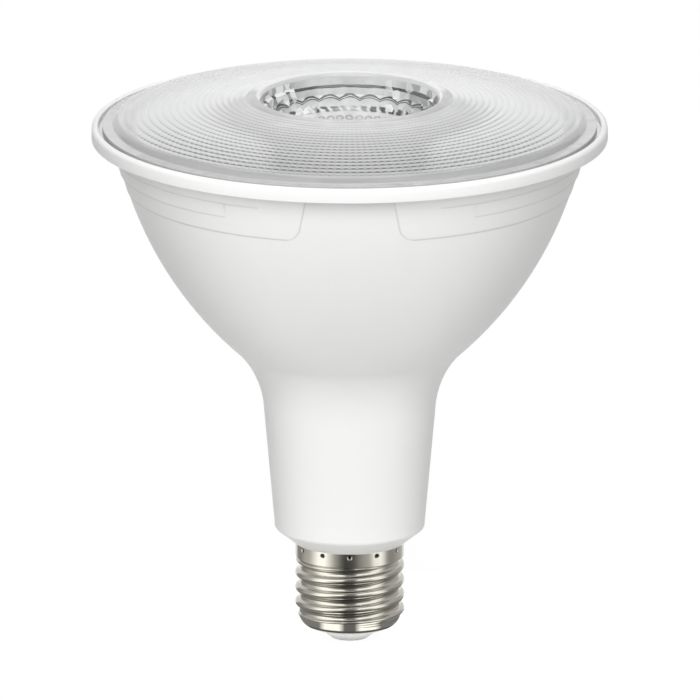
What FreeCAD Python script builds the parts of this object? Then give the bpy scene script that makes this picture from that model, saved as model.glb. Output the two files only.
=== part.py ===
import FreeCAD, Part
import math
import os

# Reflector lamp with a screw cap, standing cap down.
# Lengths are in millimetres. Z runs up the lamp's axis from the centre contact to the lens,
# the front of the lamp faces -Y, and the origin is the lowest point of the contact.

# Screw cap: seven turns to the inch, 26.3 mm over the crests
THREAD_PITCH = 25.4 / 7
THREAD_RIDGES = 4
CREST_RADIUS = 13.15
ROOT_RADIUS = 12.1
CREST_FLAT = 0.8
ROOT_FLAT = 0.7
CAP_SHEET = 0.35
CAP_LIP_Z = 3.0
CAP_FLATS = 60
CAP_MOUTH_RADIUS = 7.4
CAP_CURL_HEIGHT = 1.7
CAP_RELIEF = 1.4
SKIRT_RADIUS = 13.1
SKIRT_HEIGHT = 3.6
STAKE_COUNT = 12
STAKE_SIDES = 6
STAKE_RADIUS = 0.5
STAKE_DEPTH = 0.22
STAKE_DROP = 0.9

# Insulator and contact under the cap
INSULATOR_HEIGHT = 6.4
INSULATOR_RADIUS = 10.0
INSULATOR_NOSE_RADIUS = 4.4
INSULATOR_NOSE_RISE = 0.15
INSULATOR_CONE_DROP = 0.8
INSULATOR_MOUTH_GAP = 0.5
CONTACT_RADIUS = 3.4
CONTACT_FIT = 0.05
CONTACT_HEIGHT = 0.8
CONTACT_BEVEL = 0.5
SHANK_RADIUS = 1.6
SHANK_PROUD = 0.4

# Housing: one white moulding with a spigot, a tapered neck, a bowl and a rim
WALL = 2.2
CORE_FLATS = 36
CORE_FLOOR = 0.9
SPIGOT_CLEARANCE = 0.1
SPIGOT_WALL = 1.5
SPIGOT_LENGTH = 14.0
SHOULDER_LIP = 0.2
BEVEL_HEIGHT = 3.7
NECK_BASE_RADIUS = 18.0
NECK_CORNER = 0.7
NECK_LENGTH = 30.1
NECK_TAPER_DEG = 5.12
FILLET_HEIGHT = 14.0
FILLET_FLARE = 6.4
FILLET_BULGE = 1.32
FILLET_BANDS = 3
BOWL_HEIGHT = 52.7
BOWL_BULGE = 5.0
BOWL_BANDS = 5
CORE_BANDS = 3
RIM_RADIUS = 62.0
RIM_OVERHANG = 5.6
RIM_HEIGHT = 3.1
RIM_WIDTH = 1.6
RIM_BEVEL = 0.6
RIM_FLOOR = 1.2

# Side panels of the bowl: an outlined pad with two terraces that die out to the front
PANEL_DROP = 12.3
PANEL_PROUD = 0.2
PANEL_GAP_HALF = 10.2
PANEL_LEAN_DEG = 10.0
PANEL_CORNER = 3.2
TERRACE_HEIGHTS = (4.2, 7.8)
TERRACE_SHIFTS = (0.81, 1.21)
TERRACE_DROPS = (0.44, 0.47)

# Lens: one clear moulding with a flange, a step, a dome and a stepped well
LENS_GAP = 1.6
LENS_FLANGE = 1.9
LENS_ANNULUS = 1.9
LENS_STEP_RUN = 1.2
LENS_STEP_HEIGHT = 1.75
LENS_DOME_RISE = 4.8
LENS_DOME_BULGE = 0.48
LENS_DOME_BANDS = 2
LENS_PLATE = 2.4
LENS_SEAT_WIDTH = 4.2
LIP_WIDTH = 3.3
LIP_RISE = 0.35
WELL_RADIUS = 21.3
WELL_LIP_DROP = 0.9
WELL_DEPTH = 22.6
WELL_FLOOR_RADIUS = 15.6
WELL_WALL = 2.2
WELL_FLOOR = 2.4
LEDGE_WIDTH = 0.75
LEDGE_DROP = 0.3
LEDGE_DEPTHS = (1.7, 3.8, 6.8)
HOOK_COUNT = 3
HOOK_SPAN_DEG = 22.0
HOOK_LENGTH = 4.8
HOOK_WALL = 1.3
HOOK_BARB = 0.7
HOOK_BARB_HEIGHT = 1.6
HOOK_CLEARANCE = 0.25

# Heat dish, light-source board and reflector under the lens
DISH_PLATE = 2.5
DISH_WALL = 1.5
DISH_FLANGE = 9.0
BOARD_RADIUS = 21.0
BOARD_THICK = 1.6
BOARD_SIDES = 8
CHIP_COUNT = 16
CHIP_RING_RADIUS = 13.0
CHIP_SIZE = 3.0
CHIP_HEIGHT = 0.75
CHIP_CLEARANCE = 3.0
SCREW_COUNT = 3
SCREW_RING_RADIUS = 17.6
SCREW_SHANK_RADIUS = 1.2
SCREW_HEAD_RADIUS = 2.4
SCREW_HEAD_HEIGHT = 1.5
SCREW_LENGTH = 3.6
SCREW_FLATS = 16
REFLECTOR_WALL = 1.2
REFLECTOR_THROAT_GAP = 0.6
REFLECTOR_TOP_RADIUS = 50.0
REFLECTOR_TOP_GAP = 1.5
REFLECTOR_BULGE = 2.6
REFLECTOR_BANDS = 2
REFLECTOR_FOOT_WIDTH = 4.0

# Driver in the neck
SLEEVE_GAP = 1.6
SLEEVE_SIDES = 8
SLEEVE_WALL = 0.8
SLEEVE_HEIGHT = 44.0
DRIVER_FIT = 0.2
DRIVER_THICK = 1.6
DRIVER_HEAD_GAP = 3.0
PIN_PITCH = 5.08
PIN_SIZE = 0.64
PIN_OVERLAP = 4.0
PIN_PROUD = 0.9
PIN_SLOT_MARGIN = 1.2
LEAD_RADIUS = 0.7
LEAD_ELBOW = 6.0
LEAD_OVERLAP = 3.0
LEAD_INSET = 0.35
LEG_LENGTH = 1.1
LEG_WIDTH = 0.45
WINDING_GAP = 0.15
WINDING_ROUND = 1.0
FILM_ROUND = 0.8
CHOKE_CORNER = 1.4
CHOKE_DRUM_DEPTH = 0.5

# Parts on the driver's board, as shares of its half width across it and out of it, and of its
# length along it. A box has width, height and depth, and a can has radius and length.
CORE_AT = (0.0, 0.333)
CORE_SHARES = (1.136, 0.188, 0.682)
CORE_LIMB_SHARE = 0.197
WINDING_PROUD_SHARE = 0.091
INPUT_CAN_AT = (-0.409, 0.456)
INPUT_CAN_SHARES = (0.379, 0.232)
OUTPUT_CAN_AT = (0.439, 0.478)
OUTPUT_CAN_SHARES = (0.303, 0.174)
FILM_AT = (0.424, 0.152)
FILM_SHARES = (0.606, 0.130, 0.455)
CHOKE_AT = (-0.485, 0.137)
CHOKE_SHARES = (0.545, 0.104, 0.455)
CHOKE_DRUM_SHARE = 0.72
RECTIFIER_AT = (0.0, 0.116)
RECTIFIER_SHARES = (0.485, 0.067, 0.197)
RECTIFIER_LEGS = 2
CHIP_AT = (0.0, 0.376)
CHIP_SHARES = (0.379, 0.058, 0.121)
CHIP_LEGS = 4
FUSE_AT = (0.561, 0.781)
FUSE_SHARES = (0.114, 0.116)
SURGE_AT = (-0.485, 0.825)
SURGE_SHARES = (0.265, 0.258)

# Heights and radii that follow from the driving dimensions
AXIS = FreeCAD.Vector(0, 0, 1)
CENTRE = FreeCAD.Vector(0, 0, 0)
CAP_CURL_Z = CAP_LIP_Z + CAP_CURL_HEIGHT
SKIRT_BASE_Z = CAP_CURL_Z + THREAD_RIDGES * THREAD_PITCH + CAP_RELIEF
SHOULDER_Z = SKIRT_BASE_Z + SKIRT_HEIGHT
CAP_BORE_RADIUS = ROOT_RADIUS - CAP_SHEET
SKIRT_BORE_RADIUS = SKIRT_RADIUS - CAP_SHEET
INSULATOR_TOP_Z = CONTACT_HEIGHT + INSULATOR_HEIGHT
SHANK_TOP_Z = INSULATOR_TOP_Z + SHANK_PROUD
SPIGOT_RADIUS = CAP_BORE_RADIUS - SPIGOT_CLEARANCE
SPIGOT_TOP_RADIUS = SKIRT_BORE_RADIUS - SPIGOT_CLEARANCE
SPIGOT_BASE_Z = SHOULDER_Z - SPIGOT_LENGTH
SPIGOT_BORE_RADIUS = SPIGOT_RADIUS - SPIGOT_WALL
NECK_SLOPE = math.tan(math.radians(NECK_TAPER_DEG))
NECK_BASE_Z = SHOULDER_Z + BEVEL_HEIGHT
NECK_TOP_Z = NECK_BASE_Z + NECK_LENGTH
NECK_TOP_RADIUS = NECK_BASE_RADIUS + NECK_LENGTH * NECK_SLOPE
CREASE_Z = NECK_TOP_Z + FILLET_HEIGHT
CREASE_RADIUS = NECK_TOP_RADIUS + FILLET_FLARE
RIM_UNDER_Z = CREASE_Z + BOWL_HEIGHT
RIM_TOP_Z = RIM_UNDER_Z + RIM_HEIGHT
RIM_SEAT_Z = RIM_UNDER_Z + RIM_FLOOR
RIM_INNER_RADIUS = RIM_RADIUS - RIM_WIDTH
BOWL_TOP_RADIUS = RIM_RADIUS - RIM_OVERHANG
PANEL_Z = RIM_UNDER_Z - PANEL_DROP
CORE_FLOOR_Z = NECK_BASE_Z + CORE_FLOOR
LENS_RADIUS = RIM_INNER_RADIUS - LENS_GAP
LENS_SEAT_RADIUS = LENS_RADIUS - LENS_SEAT_WIDTH
LENS_EDGE_Z = RIM_SEAT_Z + LENS_FLANGE
LENS_STEP_RADIUS = LENS_RADIUS - LENS_ANNULUS
LENS_DOME_RADIUS = LENS_STEP_RADIUS - LENS_STEP_RUN
DOME_Z = LENS_EDGE_Z + LENS_STEP_HEIGHT
LIP_FOOT_Z = DOME_Z + LENS_DOME_RISE
LIP_OUTER_RADIUS = WELL_RADIUS + LIP_WIDTH
LIP_TOP_RADIUS = WELL_RADIUS + LIP_WIDTH / 2
LIP_Z = LIP_FOOT_Z + LIP_RISE
WELL_TOP_Z = LIP_Z - WELL_LIP_DROP
WELL_FLOOR_Z = WELL_TOP_Z - WELL_DEPTH
WELL_UNDER_Z = WELL_FLOOR_Z - WELL_FLOOR
BOARD_TOP_Z = WELL_UNDER_Z - CHIP_CLEARANCE - CHIP_HEIGHT
DISH_TOP_Z = BOARD_TOP_Z - BOARD_THICK
DISH_UNDER_Z = DISH_TOP_Z - DISH_PLATE
REFLECTOR_THROAT_RADIUS = BOARD_RADIUS / math.cos(math.pi / BOARD_SIDES) + REFLECTOR_THROAT_GAP
DRIVER_FACE_Y = LEAD_RADIUS
DRIVER_BACK_Y = DRIVER_FACE_Y + DRIVER_THICK
SLEEVE_RADIUS = NECK_BASE_RADIUS - WALL - SLEEVE_GAP
DRIVER_HALF_WIDTH = SLEEVE_RADIUS - SLEEVE_WALL - DRIVER_FIT
DRIVER_TOP_Z = DISH_UNDER_Z - DRIVER_HEAD_GAP
DRIVER_LENGTH = DRIVER_TOP_Z - CORE_FLOOR_Z
CORE_LIMB = CORE_LIMB_SHARE * DRIVER_HALF_WIDTH
WINDING_PROUD = WINDING_PROUD_SHARE * DRIVER_HALF_WIDTH


def point(radius, z):
    return FreeCAD.Vector(radius, 0, z)


def between(start, end, share):
    return start + (end - start) * share


def arc_points(start, end, bulge, count):
    """Points after the start along an arc, which a positive bulge bows to the right of its way."""
    along = (end - start).normalize()
    middle = between(start, end, 0.5) + FreeCAD.Vector(along.z, 0, -along.x) * bulge
    curve = Part.Arc(start, middle, end)
    first, last = curve.FirstParameter, curve.LastParameter
    steps = round(count)
    return [curve.value(first + (last - first) * step / steps) for step in range(1, steps + 1)]


def closed(points):
    return Part.Face(Part.makePolygon(points + points[:1]))


def turned(points, degrees=360):
    """Solid turned about the lamp's axis from an outline of radius and height."""
    return closed(points).revolve(CENTRE, AXIS, degrees)


def flatted(points, sides=CORE_FLATS):
    """Like a turned solid, with flats at the outline's radii in place of a round wall."""
    sides = round(sides)
    half = math.pi / sides

    def corner(p, index):
        reach = p.x / math.cos(half)
        angle = half * (2 * index + 1)
        return FreeCAD.Vector(reach * math.sin(angle), -reach * math.cos(angle), p.z)

    faces = []
    for low, high in zip(points, points[1:] + points[:1]):
        if low.x == 0 and high.x == 0:
            continue
        if low.x == 0 or high.x == 0:
            rim = high if low.x == 0 else low
            faces.append(closed([corner(rim, index) for index in range(sides)]))
            continue
        for index in range(sides):
            near = [corner(low, index), corner(low, index + 1)]
            far = [corner(high, index + 1), corner(high, index)]
            faces.append(closed(near + far))
    solid = Part.Solid(Part.Shell(faces))
    if solid.Volume < 0:
        solid.reverse()
    return solid


def disc(radius, base_z, height, x=0.0, y=0.0):
    return Part.makeCylinder(radius, height, FreeCAD.Vector(x, y, base_z))


def block(low, high):
    size = high - low
    return Part.makeBox(size.x, size.y, size.z, low)


def spun(shape, degrees):
    """Copy of a shape turned about the lamp's axis."""
    copy = shape.copy()
    copy.rotate(CENTRE, AXIS, degrees)
    return copy


def ring_of(shape, count):
    return [spun(shape, 360.0 * index / count) for index in range(count)]


def one_solid(shape):
    """The single solid of a finished boolean, with its leftover seams removed."""
    solid = shape.removeSplitter()
    if len(solid.Solids) != 1:
        raise ValueError("expected one solid, found %d" % len(solid.Solids))
    return solid.Solids[0]


def radius_at(points, z):
    """Radius of a run of straight bands at a height."""
    for low, high in zip(points, points[1:]):
        if low.z <= z <= high.z:
            return between(low, high, (z - low.z) / (high.z - low.z)).x
    return points[-1].x


def span_of(points, low_z, high_z):
    """The stretch of a run of bands between two heights."""
    inner = [p for p in points if low_z < p.z < high_z]
    return [point(radius_at(points, low_z), low_z)] + inner + [point(radius_at(points, high_z), high_z)]


def bowl_points():
    """Outer face of the bowl from the crease to the rim, in bands along one arc."""
    start = point(CREASE_RADIUS, CREASE_Z)
    return [start] + arc_points(start, point(BOWL_TOP_RADIUS, RIM_UNDER_Z), BOWL_BULGE, BOWL_BANDS)


def fillet_points():
    """Hollow curve from the neck out to the crease."""
    start = point(NECK_TOP_RADIUS, NECK_TOP_Z)
    return [start] + arc_points(start, point(CREASE_RADIUS, CREASE_Z), -FILLET_BULGE, FILLET_BANDS)


def core_points():
    """Inner face of the housing, one wall inside the neck, the fillet and the bowl."""
    lean = math.atan2(FILLET_FLARE, FILLET_HEIGHT)
    inset = point(-WALL * math.cos(lean), WALL * math.sin(lean))
    neck_low = point(NECK_BASE_RADIUS - WALL, CORE_FLOOR_Z)
    neck_high = point(NECK_TOP_RADIUS - WALL, NECK_TOP_Z)
    middle = fillet_points()[round(FILLET_BANDS) // 2 + 1] + inset
    start = point(CREASE_RADIUS, CREASE_Z) + inset
    end = point(BOWL_TOP_RADIUS - WALL, RIM_UNDER_Z)
    return [neck_low, neck_high, middle, start] + arc_points(start, end, BOWL_BULGE, CORE_BANDS)


def ridge_points():
    """Rolled ridges of the cap, from the lowest root up."""
    flank = (THREAD_PITCH - CREST_FLAT - ROOT_FLAT) / 2
    points = []
    for index in range(THREAD_RIDGES):
        foot = CAP_CURL_Z + index * THREAD_PITCH
        points.append(point(ROOT_RADIUS, foot))
        points.append(point(CREST_RADIUS, foot + flank))
        points.append(point(CREST_RADIUS, foot + flank + CREST_FLAT))
        points.append(point(ROOT_RADIUS, foot + flank * 2 + CREST_FLAT))
    return points


def cap_mouth_points():
    """Inner face of the cap's curled-in lower edge, which the insulator seats on."""
    return [point(CAP_MOUTH_RADIUS, CAP_LIP_Z + CAP_SHEET), point(CAP_BORE_RADIUS, CAP_CURL_Z + CAP_SHEET)]


def make_cap_shell():
    """Rolled metal shell: staked skirt, ridges at the thread's pitch and a curled-in edge."""
    threaded = flatted([
        point(0, CAP_LIP_Z),
        point(CAP_MOUTH_RADIUS + CAP_SHEET, CAP_LIP_Z),
        *ridge_points(),
        point(ROOT_RADIUS, SKIRT_BASE_Z - CAP_RELIEF * 0.6),
        point(SKIRT_RADIUS - CAP_SHEET / 4, SKIRT_BASE_Z),
        point(0, SKIRT_BASE_Z),
    ], CAP_FLATS)
    shell = threaded.fuse(disc(SKIRT_RADIUS, SKIRT_BASE_Z, SKIRT_HEIGHT))
    inside = flatted([
        point(0, CAP_LIP_Z - 1),
        point(CAP_MOUTH_RADIUS, CAP_LIP_Z - 1),
        *cap_mouth_points(),
        point(CAP_BORE_RADIUS, SKIRT_BASE_Z),
        point(SKIRT_BORE_RADIUS, SKIRT_BASE_Z + CAP_SHEET * 2),
        point(SKIRT_BORE_RADIUS, SHOULDER_Z + 1),
        point(0, SHOULDER_Z + 1),
    ])
    return one_solid(shell.cut(inside).cut(ring_of(stake_punch(), STAKE_COUNT)))


def stake_punch():
    """Punch that dents the skirt where it is staked to the spigot."""
    inner_y = STAKE_DEPTH - SKIRT_RADIUS
    corners = []
    for index in range(STAKE_SIDES):
        angle = 2 * math.pi * index / STAKE_SIDES
        x = STAKE_RADIUS * math.cos(angle)
        z = SHOULDER_Z - STAKE_DROP + STAKE_RADIUS * math.sin(angle)
        corners.append(FreeCAD.Vector(x, inner_y, z))
    return closed(corners).extrude(FreeCAD.Vector(0, -STAKE_DEPTH - 1, 0))


def make_cap_insulator():
    """White insulator that closes the cap's mouth and carries the contact in its nose."""
    seat = cap_mouth_points()
    slope = (seat[1].z - seat[0].z) / (seat[1].x - seat[0].x)
    edge_z = seat[0].z + (INSULATOR_RADIUS - seat[0].x) * slope
    body = flatted([
        point(0, INSULATOR_NOSE_RISE),
        point(INSULATOR_NOSE_RADIUS, INSULATOR_NOSE_RISE),
        point(CAP_MOUTH_RADIUS - INSULATOR_MOUTH_GAP, CAP_LIP_Z - INSULATOR_CONE_DROP),
        point(CAP_MOUTH_RADIUS - INSULATOR_MOUTH_GAP, CAP_LIP_Z),
        point(CAP_MOUTH_RADIUS, CAP_LIP_Z + CAP_SHEET),
        point(INSULATOR_RADIUS, edge_z),
        point(INSULATOR_RADIUS, INSULATOR_TOP_Z),
        point(0, INSULATOR_TOP_Z),
    ])
    recess = disc(CONTACT_RADIUS + CONTACT_FIT, 0, CONTACT_HEIGHT)
    return one_solid(body.cut(recess).cut(disc(SHANK_RADIUS, 0, INSULATOR_TOP_Z + 1)))


def make_centre_contact():
    """Centre contact with its shank through the insulator."""
    return turned([
        point(0, 0),
        point(CONTACT_RADIUS - CONTACT_BEVEL * 2, 0),
        point(CONTACT_RADIUS, CONTACT_BEVEL),
        point(CONTACT_RADIUS, CONTACT_HEIGHT),
        point(SHANK_RADIUS, CONTACT_HEIGHT),
        point(SHANK_RADIUS, SHANK_TOP_Z),
        point(0, SHANK_TOP_Z),
    ])


def proud_band(low_z, high_z, proud):
    """Ring of the bowl's form that stands proud of it, down to the bowl's own wall."""
    outer = [p + point(proud, 0) for p in span_of(bowl_points(), low_z, high_z)]
    inner = BOWL_TOP_RADIUS - RIM_OVERHANG - WALL
    return turned([point(inner, low_z)] + outer + [point(inner, high_z)])


def panel_mask(high_z):
    """Block over one side of the bowl, with leaning ends and rounded lower corners."""
    lean = math.tan(math.radians(PANEL_LEAN_DEG))
    reach = RIM_RADIUS
    low_x = PANEL_GAP_HALF + (RIM_UNDER_Z - PANEL_Z) * lean
    face = closed([
        FreeCAD.Vector(low_x, -reach, PANEL_Z),
        FreeCAD.Vector(reach, -reach, PANEL_Z),
        FreeCAD.Vector(reach, -reach, high_z),
        FreeCAD.Vector(PANEL_GAP_HALF, -reach, high_z),
    ])
    mask = face.extrude(FreeCAD.Vector(0, 2 * reach, 0))
    low_edges = [edge for edge in mask.Edges if edge.BoundBox.ZMax < PANEL_Z + 1e-6]
    corner = [edge for edge in low_edges if edge.BoundBox.XMax < low_x + 1e-6]
    return mask.makeFillet(PANEL_CORNER, corner)


def side_panels():
    """Pads and terraces on both sides of the bowl, up to the rim."""
    pad = proud_band(PANEL_Z, RIM_UNDER_Z, PANEL_PROUD).common(panel_mask(RIM_UNDER_Z))
    pieces = ring_of(pad, 2)
    for height, shift, drop in zip(TERRACE_HEIGHTS, TERRACE_SHIFTS, TERRACE_DROPS):
        terrace = proud_band(PANEL_Z + height, RIM_UNDER_Z, PANEL_PROUD - drop)
        terrace.translate(FreeCAD.Vector(shift, 0, 0))
        pieces.extend(ring_of(terrace, 2))
    return pieces


def lead_channel():
    """Channel down the spigot for the lead that the cap's shell presses on."""
    half = LEAD_RADIUS + SPIGOT_CLEARANCE
    inner = CAP_BORE_RADIUS - 2 * LEAD_RADIUS - SPIGOT_CLEARANCE
    return block(
        FreeCAD.Vector(min(inner, SPIGOT_BORE_RADIUS) - 1, -half, SPIGOT_BASE_Z - 1),
        FreeCAD.Vector(CAP_BORE_RADIUS, half, CORE_FLOOR_Z + 1),
    )


def make_housing():
    """White moulding: spigot for the cap, tapered neck, bowl with side panels, and the rim."""
    body = turned([
        point(0, SPIGOT_BASE_Z),
        point(SPIGOT_RADIUS, SPIGOT_BASE_Z),
        point(SPIGOT_RADIUS, SKIRT_BASE_Z),
        point(SPIGOT_TOP_RADIUS, SKIRT_BASE_Z + CAP_SHEET * 2),
        point(SPIGOT_TOP_RADIUS, SHOULDER_Z),
        point(SKIRT_RADIUS + SHOULDER_LIP, SHOULDER_Z),
        point(NECK_BASE_RADIUS - NECK_CORNER, NECK_BASE_Z - NECK_CORNER * 0.6),
        point(NECK_BASE_RADIUS + NECK_CORNER * NECK_SLOPE, NECK_BASE_Z + NECK_CORNER),
        *fillet_points(),
        *bowl_points()[1:],
        point(RIM_RADIUS, RIM_UNDER_Z),
        point(RIM_RADIUS, RIM_TOP_Z - RIM_BEVEL),
        point(RIM_RADIUS - RIM_BEVEL, RIM_TOP_Z),
        point(RIM_INNER_RADIUS, RIM_TOP_Z),
        point(RIM_INNER_RADIUS, RIM_SEAT_Z),
        point(0, RIM_SEAT_Z),
    ])
    body = body.fuse(side_panels())
    core = core_points()
    hollow = flatted([point(0, CORE_FLOOR_Z)] + core + [
        point(core[-1].x, RIM_SEAT_Z + 1),
        point(0, RIM_SEAT_Z + 1),
    ])
    bore = disc(SPIGOT_BORE_RADIUS, SPIGOT_BASE_Z - 1, CORE_FLOOR_Z - SPIGOT_BASE_Z + 2)
    return one_solid(body.cut([hollow, bore, lead_channel()] + ring_of(hook_pocket(), HOOK_COUNT)))


def hook_outer_radius():
    """Outer face of a hook's leg, clear of the housing's inner face at the leg's tip."""
    return radius_at(core_points(), RIM_SEAT_Z - HOOK_LENGTH) - HOOK_CLEARANCE


def hook_sector(inner, outer, low_z, high_z, span_deg):
    """Piece of a ring, centred on the front of the lamp."""
    outline = [point(inner, low_z), point(outer, low_z), point(outer, high_z), point(inner, high_z)]
    return spun(turned(outline, span_deg), -90 - span_deg / 2)


def hook_pocket():
    """Recess in the housing's wall that a hook's barb snaps into."""
    outer = hook_outer_radius() + HOOK_BARB + HOOK_CLEARANCE
    low_z = RIM_SEAT_Z - HOOK_LENGTH - HOOK_CLEARANCE
    high_z = low_z + HOOK_BARB_HEIGHT + 2 * HOOK_CLEARANCE
    margin = math.degrees(HOOK_CLEARANCE / outer)
    return hook_sector(outer - WALL, outer, low_z, high_z, HOOK_SPAN_DEG + 2 * margin)


def snap_hook():
    outer = hook_outer_radius()
    inner = outer - HOOK_WALL
    tip_z = RIM_SEAT_Z - HOOK_LENGTH
    root_z = RIM_SEAT_Z + LENS_FLANGE / 2
    leg = hook_sector(inner, outer, tip_z, root_z, HOOK_SPAN_DEG)
    foot = hook_sector(inner, LENS_SEAT_RADIUS + LENS_SEAT_WIDTH / 4, RIM_SEAT_Z, root_z, HOOK_SPAN_DEG)
    barb_z = tip_z + HOOK_BARB_HEIGHT
    barb = hook_sector(inner + HOOK_WALL / 2, outer + HOOK_BARB, tip_z, barb_z, HOOK_SPAN_DEG)
    return leg.fuse([foot, barb])


def well_points():
    """Inner wall of the well from its mouth down over the ledges to the floor."""
    run = WELL_RADIUS - WELL_FLOOR_RADIUS - LEDGE_WIDTH * len(LEDGE_DEPTHS)
    taper = run / (WELL_DEPTH - LEDGE_DROP * len(LEDGE_DEPTHS))
    here = point(WELL_RADIUS, WELL_TOP_Z)
    points = [here]
    for depth in LEDGE_DEPTHS:
        down = here.z - (WELL_TOP_Z - depth)
        points.append(here + point(-down * taper, -down))
        here = points[-1] + point(-LEDGE_WIDTH, -LEDGE_DROP)
        points.append(here)
    return points + [point(WELL_FLOOR_RADIUS, WELL_FLOOR_Z)]


def make_lens():
    """Clear lens with its snap hooks. The underside has flats that line up with the housing's."""
    dome_edge = point(LENS_DOME_RADIUS, DOME_Z)
    lip_foot = point(LIP_OUTER_RADIUS, LIP_FOOT_Z)
    inner_edge = LENS_SEAT_RADIUS - LENS_SEAT_WIDTH / 4
    upper = turned([
        point(0, WELL_UNDER_Z),
        point(inner_edge, WELL_UNDER_Z),
        point(inner_edge, RIM_SEAT_Z),
        point(LENS_RADIUS, RIM_SEAT_Z),
        point(LENS_RADIUS, LENS_EDGE_Z),
        point(LENS_STEP_RADIUS, LENS_EDGE_Z),
        dome_edge,
        *arc_points(dome_edge, lip_foot, LENS_DOME_BULGE, LENS_DOME_BANDS),
        point(LIP_TOP_RADIUS, LIP_Z),
        *well_points(),
        point(0, WELL_FLOOR_Z),
    ])
    under = flatted([
        point(LENS_SEAT_RADIUS, WELL_UNDER_Z - 1),
        point(LENS_SEAT_RADIUS, DOME_Z - LENS_PLATE),
        point(LIP_OUTER_RADIUS + WELL_WALL, LIP_FOOT_Z - LENS_PLATE - LIP_RISE),
        point(WELL_RADIUS + WELL_WALL * 0.6, WELL_TOP_Z - LENS_PLATE - WELL_WALL),
        point(WELL_FLOOR_RADIUS + WELL_WALL, WELL_FLOOR_Z),
        point(WELL_FLOOR_RADIUS + WELL_WALL * 0.6, WELL_UNDER_Z),
        point(WELL_FLOOR_RADIUS + WELL_WALL * 0.6, WELL_UNDER_Z - 1),
    ])
    lens = upper.cut(under)
    return one_solid(lens.fuse(ring_of(snap_hook(), HOOK_COUNT)))


def screw_peg(radius, low_z, high_z):
    """Small faceted peg at the front screw's place."""
    outline = [point(0, low_z), point(radius, low_z), point(radius, high_z), point(0, high_z)]
    peg = flatted(outline, SCREW_FLATS)
    peg.translate(FreeCAD.Vector(0, -SCREW_RING_RADIUS, 0))
    return peg


def screw_hole(low_z, high_z):
    return screw_peg(SCREW_SHANK_RADIUS, low_z, high_z)


def pin_slot(margin, low_z, high_z):
    """Opening round each of the driver's two pins, wider than the pin by a margin."""
    half = PIN_SIZE / 2 + margin
    slots = []
    for x in (-PIN_PITCH / 2, PIN_PITCH / 2):
        middle_y = DRIVER_FACE_Y - PIN_SIZE / 2
        slots.append(block(FreeCAD.Vector(x - half, middle_y - half, low_z),
                           FreeCAD.Vector(x + half, middle_y + half, high_z)))
    return slots


def make_heat_dish():
    """Pressed aluminium dish: a flat plate under the board and a flange down the housing's wall."""
    foot_z = DISH_UNDER_Z - DISH_FLANGE
    outer = span_of(core_points(), foot_z, DISH_TOP_Z)
    dish = flatted([point(0, foot_z)] + outer + [point(0, DISH_TOP_Z)])
    inner = [p - point(DISH_WALL, 0) for p in span_of(core_points(), foot_z - 1, DISH_UNDER_Z)]
    hollow = flatted([point(0, foot_z - 1)] + inner + [point(0, DISH_UNDER_Z)])
    holes = ring_of(screw_hole(DISH_UNDER_Z - 1, DISH_TOP_Z + 1), SCREW_COUNT)
    slots = pin_slot(PIN_SLOT_MARGIN, DISH_UNDER_Z - 1, DISH_TOP_Z + 1)
    return one_solid(dish.cut([hollow] + holes + slots))


def make_light_board():
    """White metal-core board, scored to straight sides, with screw holes and pin holes."""
    board = flatted([
        point(0, DISH_TOP_Z),
        point(BOARD_RADIUS, DISH_TOP_Z),
        point(BOARD_RADIUS, BOARD_TOP_Z),
        point(0, BOARD_TOP_Z),
    ], BOARD_SIDES)
    holes = ring_of(screw_hole(DISH_TOP_Z - 1, BOARD_TOP_Z + 1), SCREW_COUNT)
    return one_solid(board.cut(holes + pin_slot(0, DISH_TOP_Z - 1, BOARD_TOP_Z + 1)))


def make_light_chips():
    half = CHIP_SIZE / 2
    chip = block(
        FreeCAD.Vector(-half, -CHIP_RING_RADIUS - half, BOARD_TOP_Z),
        FreeCAD.Vector(half, -CHIP_RING_RADIUS + half, BOARD_TOP_Z + CHIP_HEIGHT),
    )
    return Part.makeCompound(ring_of(chip, CHIP_COUNT))


def make_board_screws():
    """Pan-head screws that hold the board down on the dish."""
    low_z = BOARD_TOP_Z - SCREW_LENGTH
    crown_z = BOARD_TOP_Z + SCREW_HEAD_HEIGHT
    screw = flatted([
        point(0, low_z),
        point(SCREW_SHANK_RADIUS, low_z),
        point(SCREW_SHANK_RADIUS, BOARD_TOP_Z),
        point(SCREW_HEAD_RADIUS, BOARD_TOP_Z),
        point(SCREW_HEAD_RADIUS, crown_z - SCREW_HEAD_HEIGHT * 0.4),
        point(SCREW_HEAD_RADIUS * 0.7, crown_z),
        point(0, crown_z),
    ], SCREW_FLATS)
    screw.translate(FreeCAD.Vector(0, -SCREW_RING_RADIUS, 0))
    return Part.makeCompound(ring_of(screw, SCREW_COUNT))


def make_reflector():
    """Faceted white reflector, standing on the dish round the board."""
    wall = REFLECTOR_WALL
    foot = point(REFLECTOR_THROAT_RADIUS, DISH_TOP_Z)
    throat = point(REFLECTOR_THROAT_RADIUS, BOARD_TOP_Z + wall)
    top = point(REFLECTOR_TOP_RADIUS, RIM_SEAT_Z - REFLECTOR_TOP_GAP)
    inside = [throat] + arc_points(throat, top, REFLECTOR_BULGE, REFLECTOR_BANDS)
    outside = [p + point(wall, -wall * 0.6) for p in inside]
    return flatted([
        foot,
        foot + point(REFLECTOR_FOOT_WIDTH, 0),
        foot + point(REFLECTOR_FOOT_WIDTH, wall),
        foot + point(wall, wall),
        *outside,
        outside[-1] + point(0, wall * 0.6),
        *reversed(inside),
    ])


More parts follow.
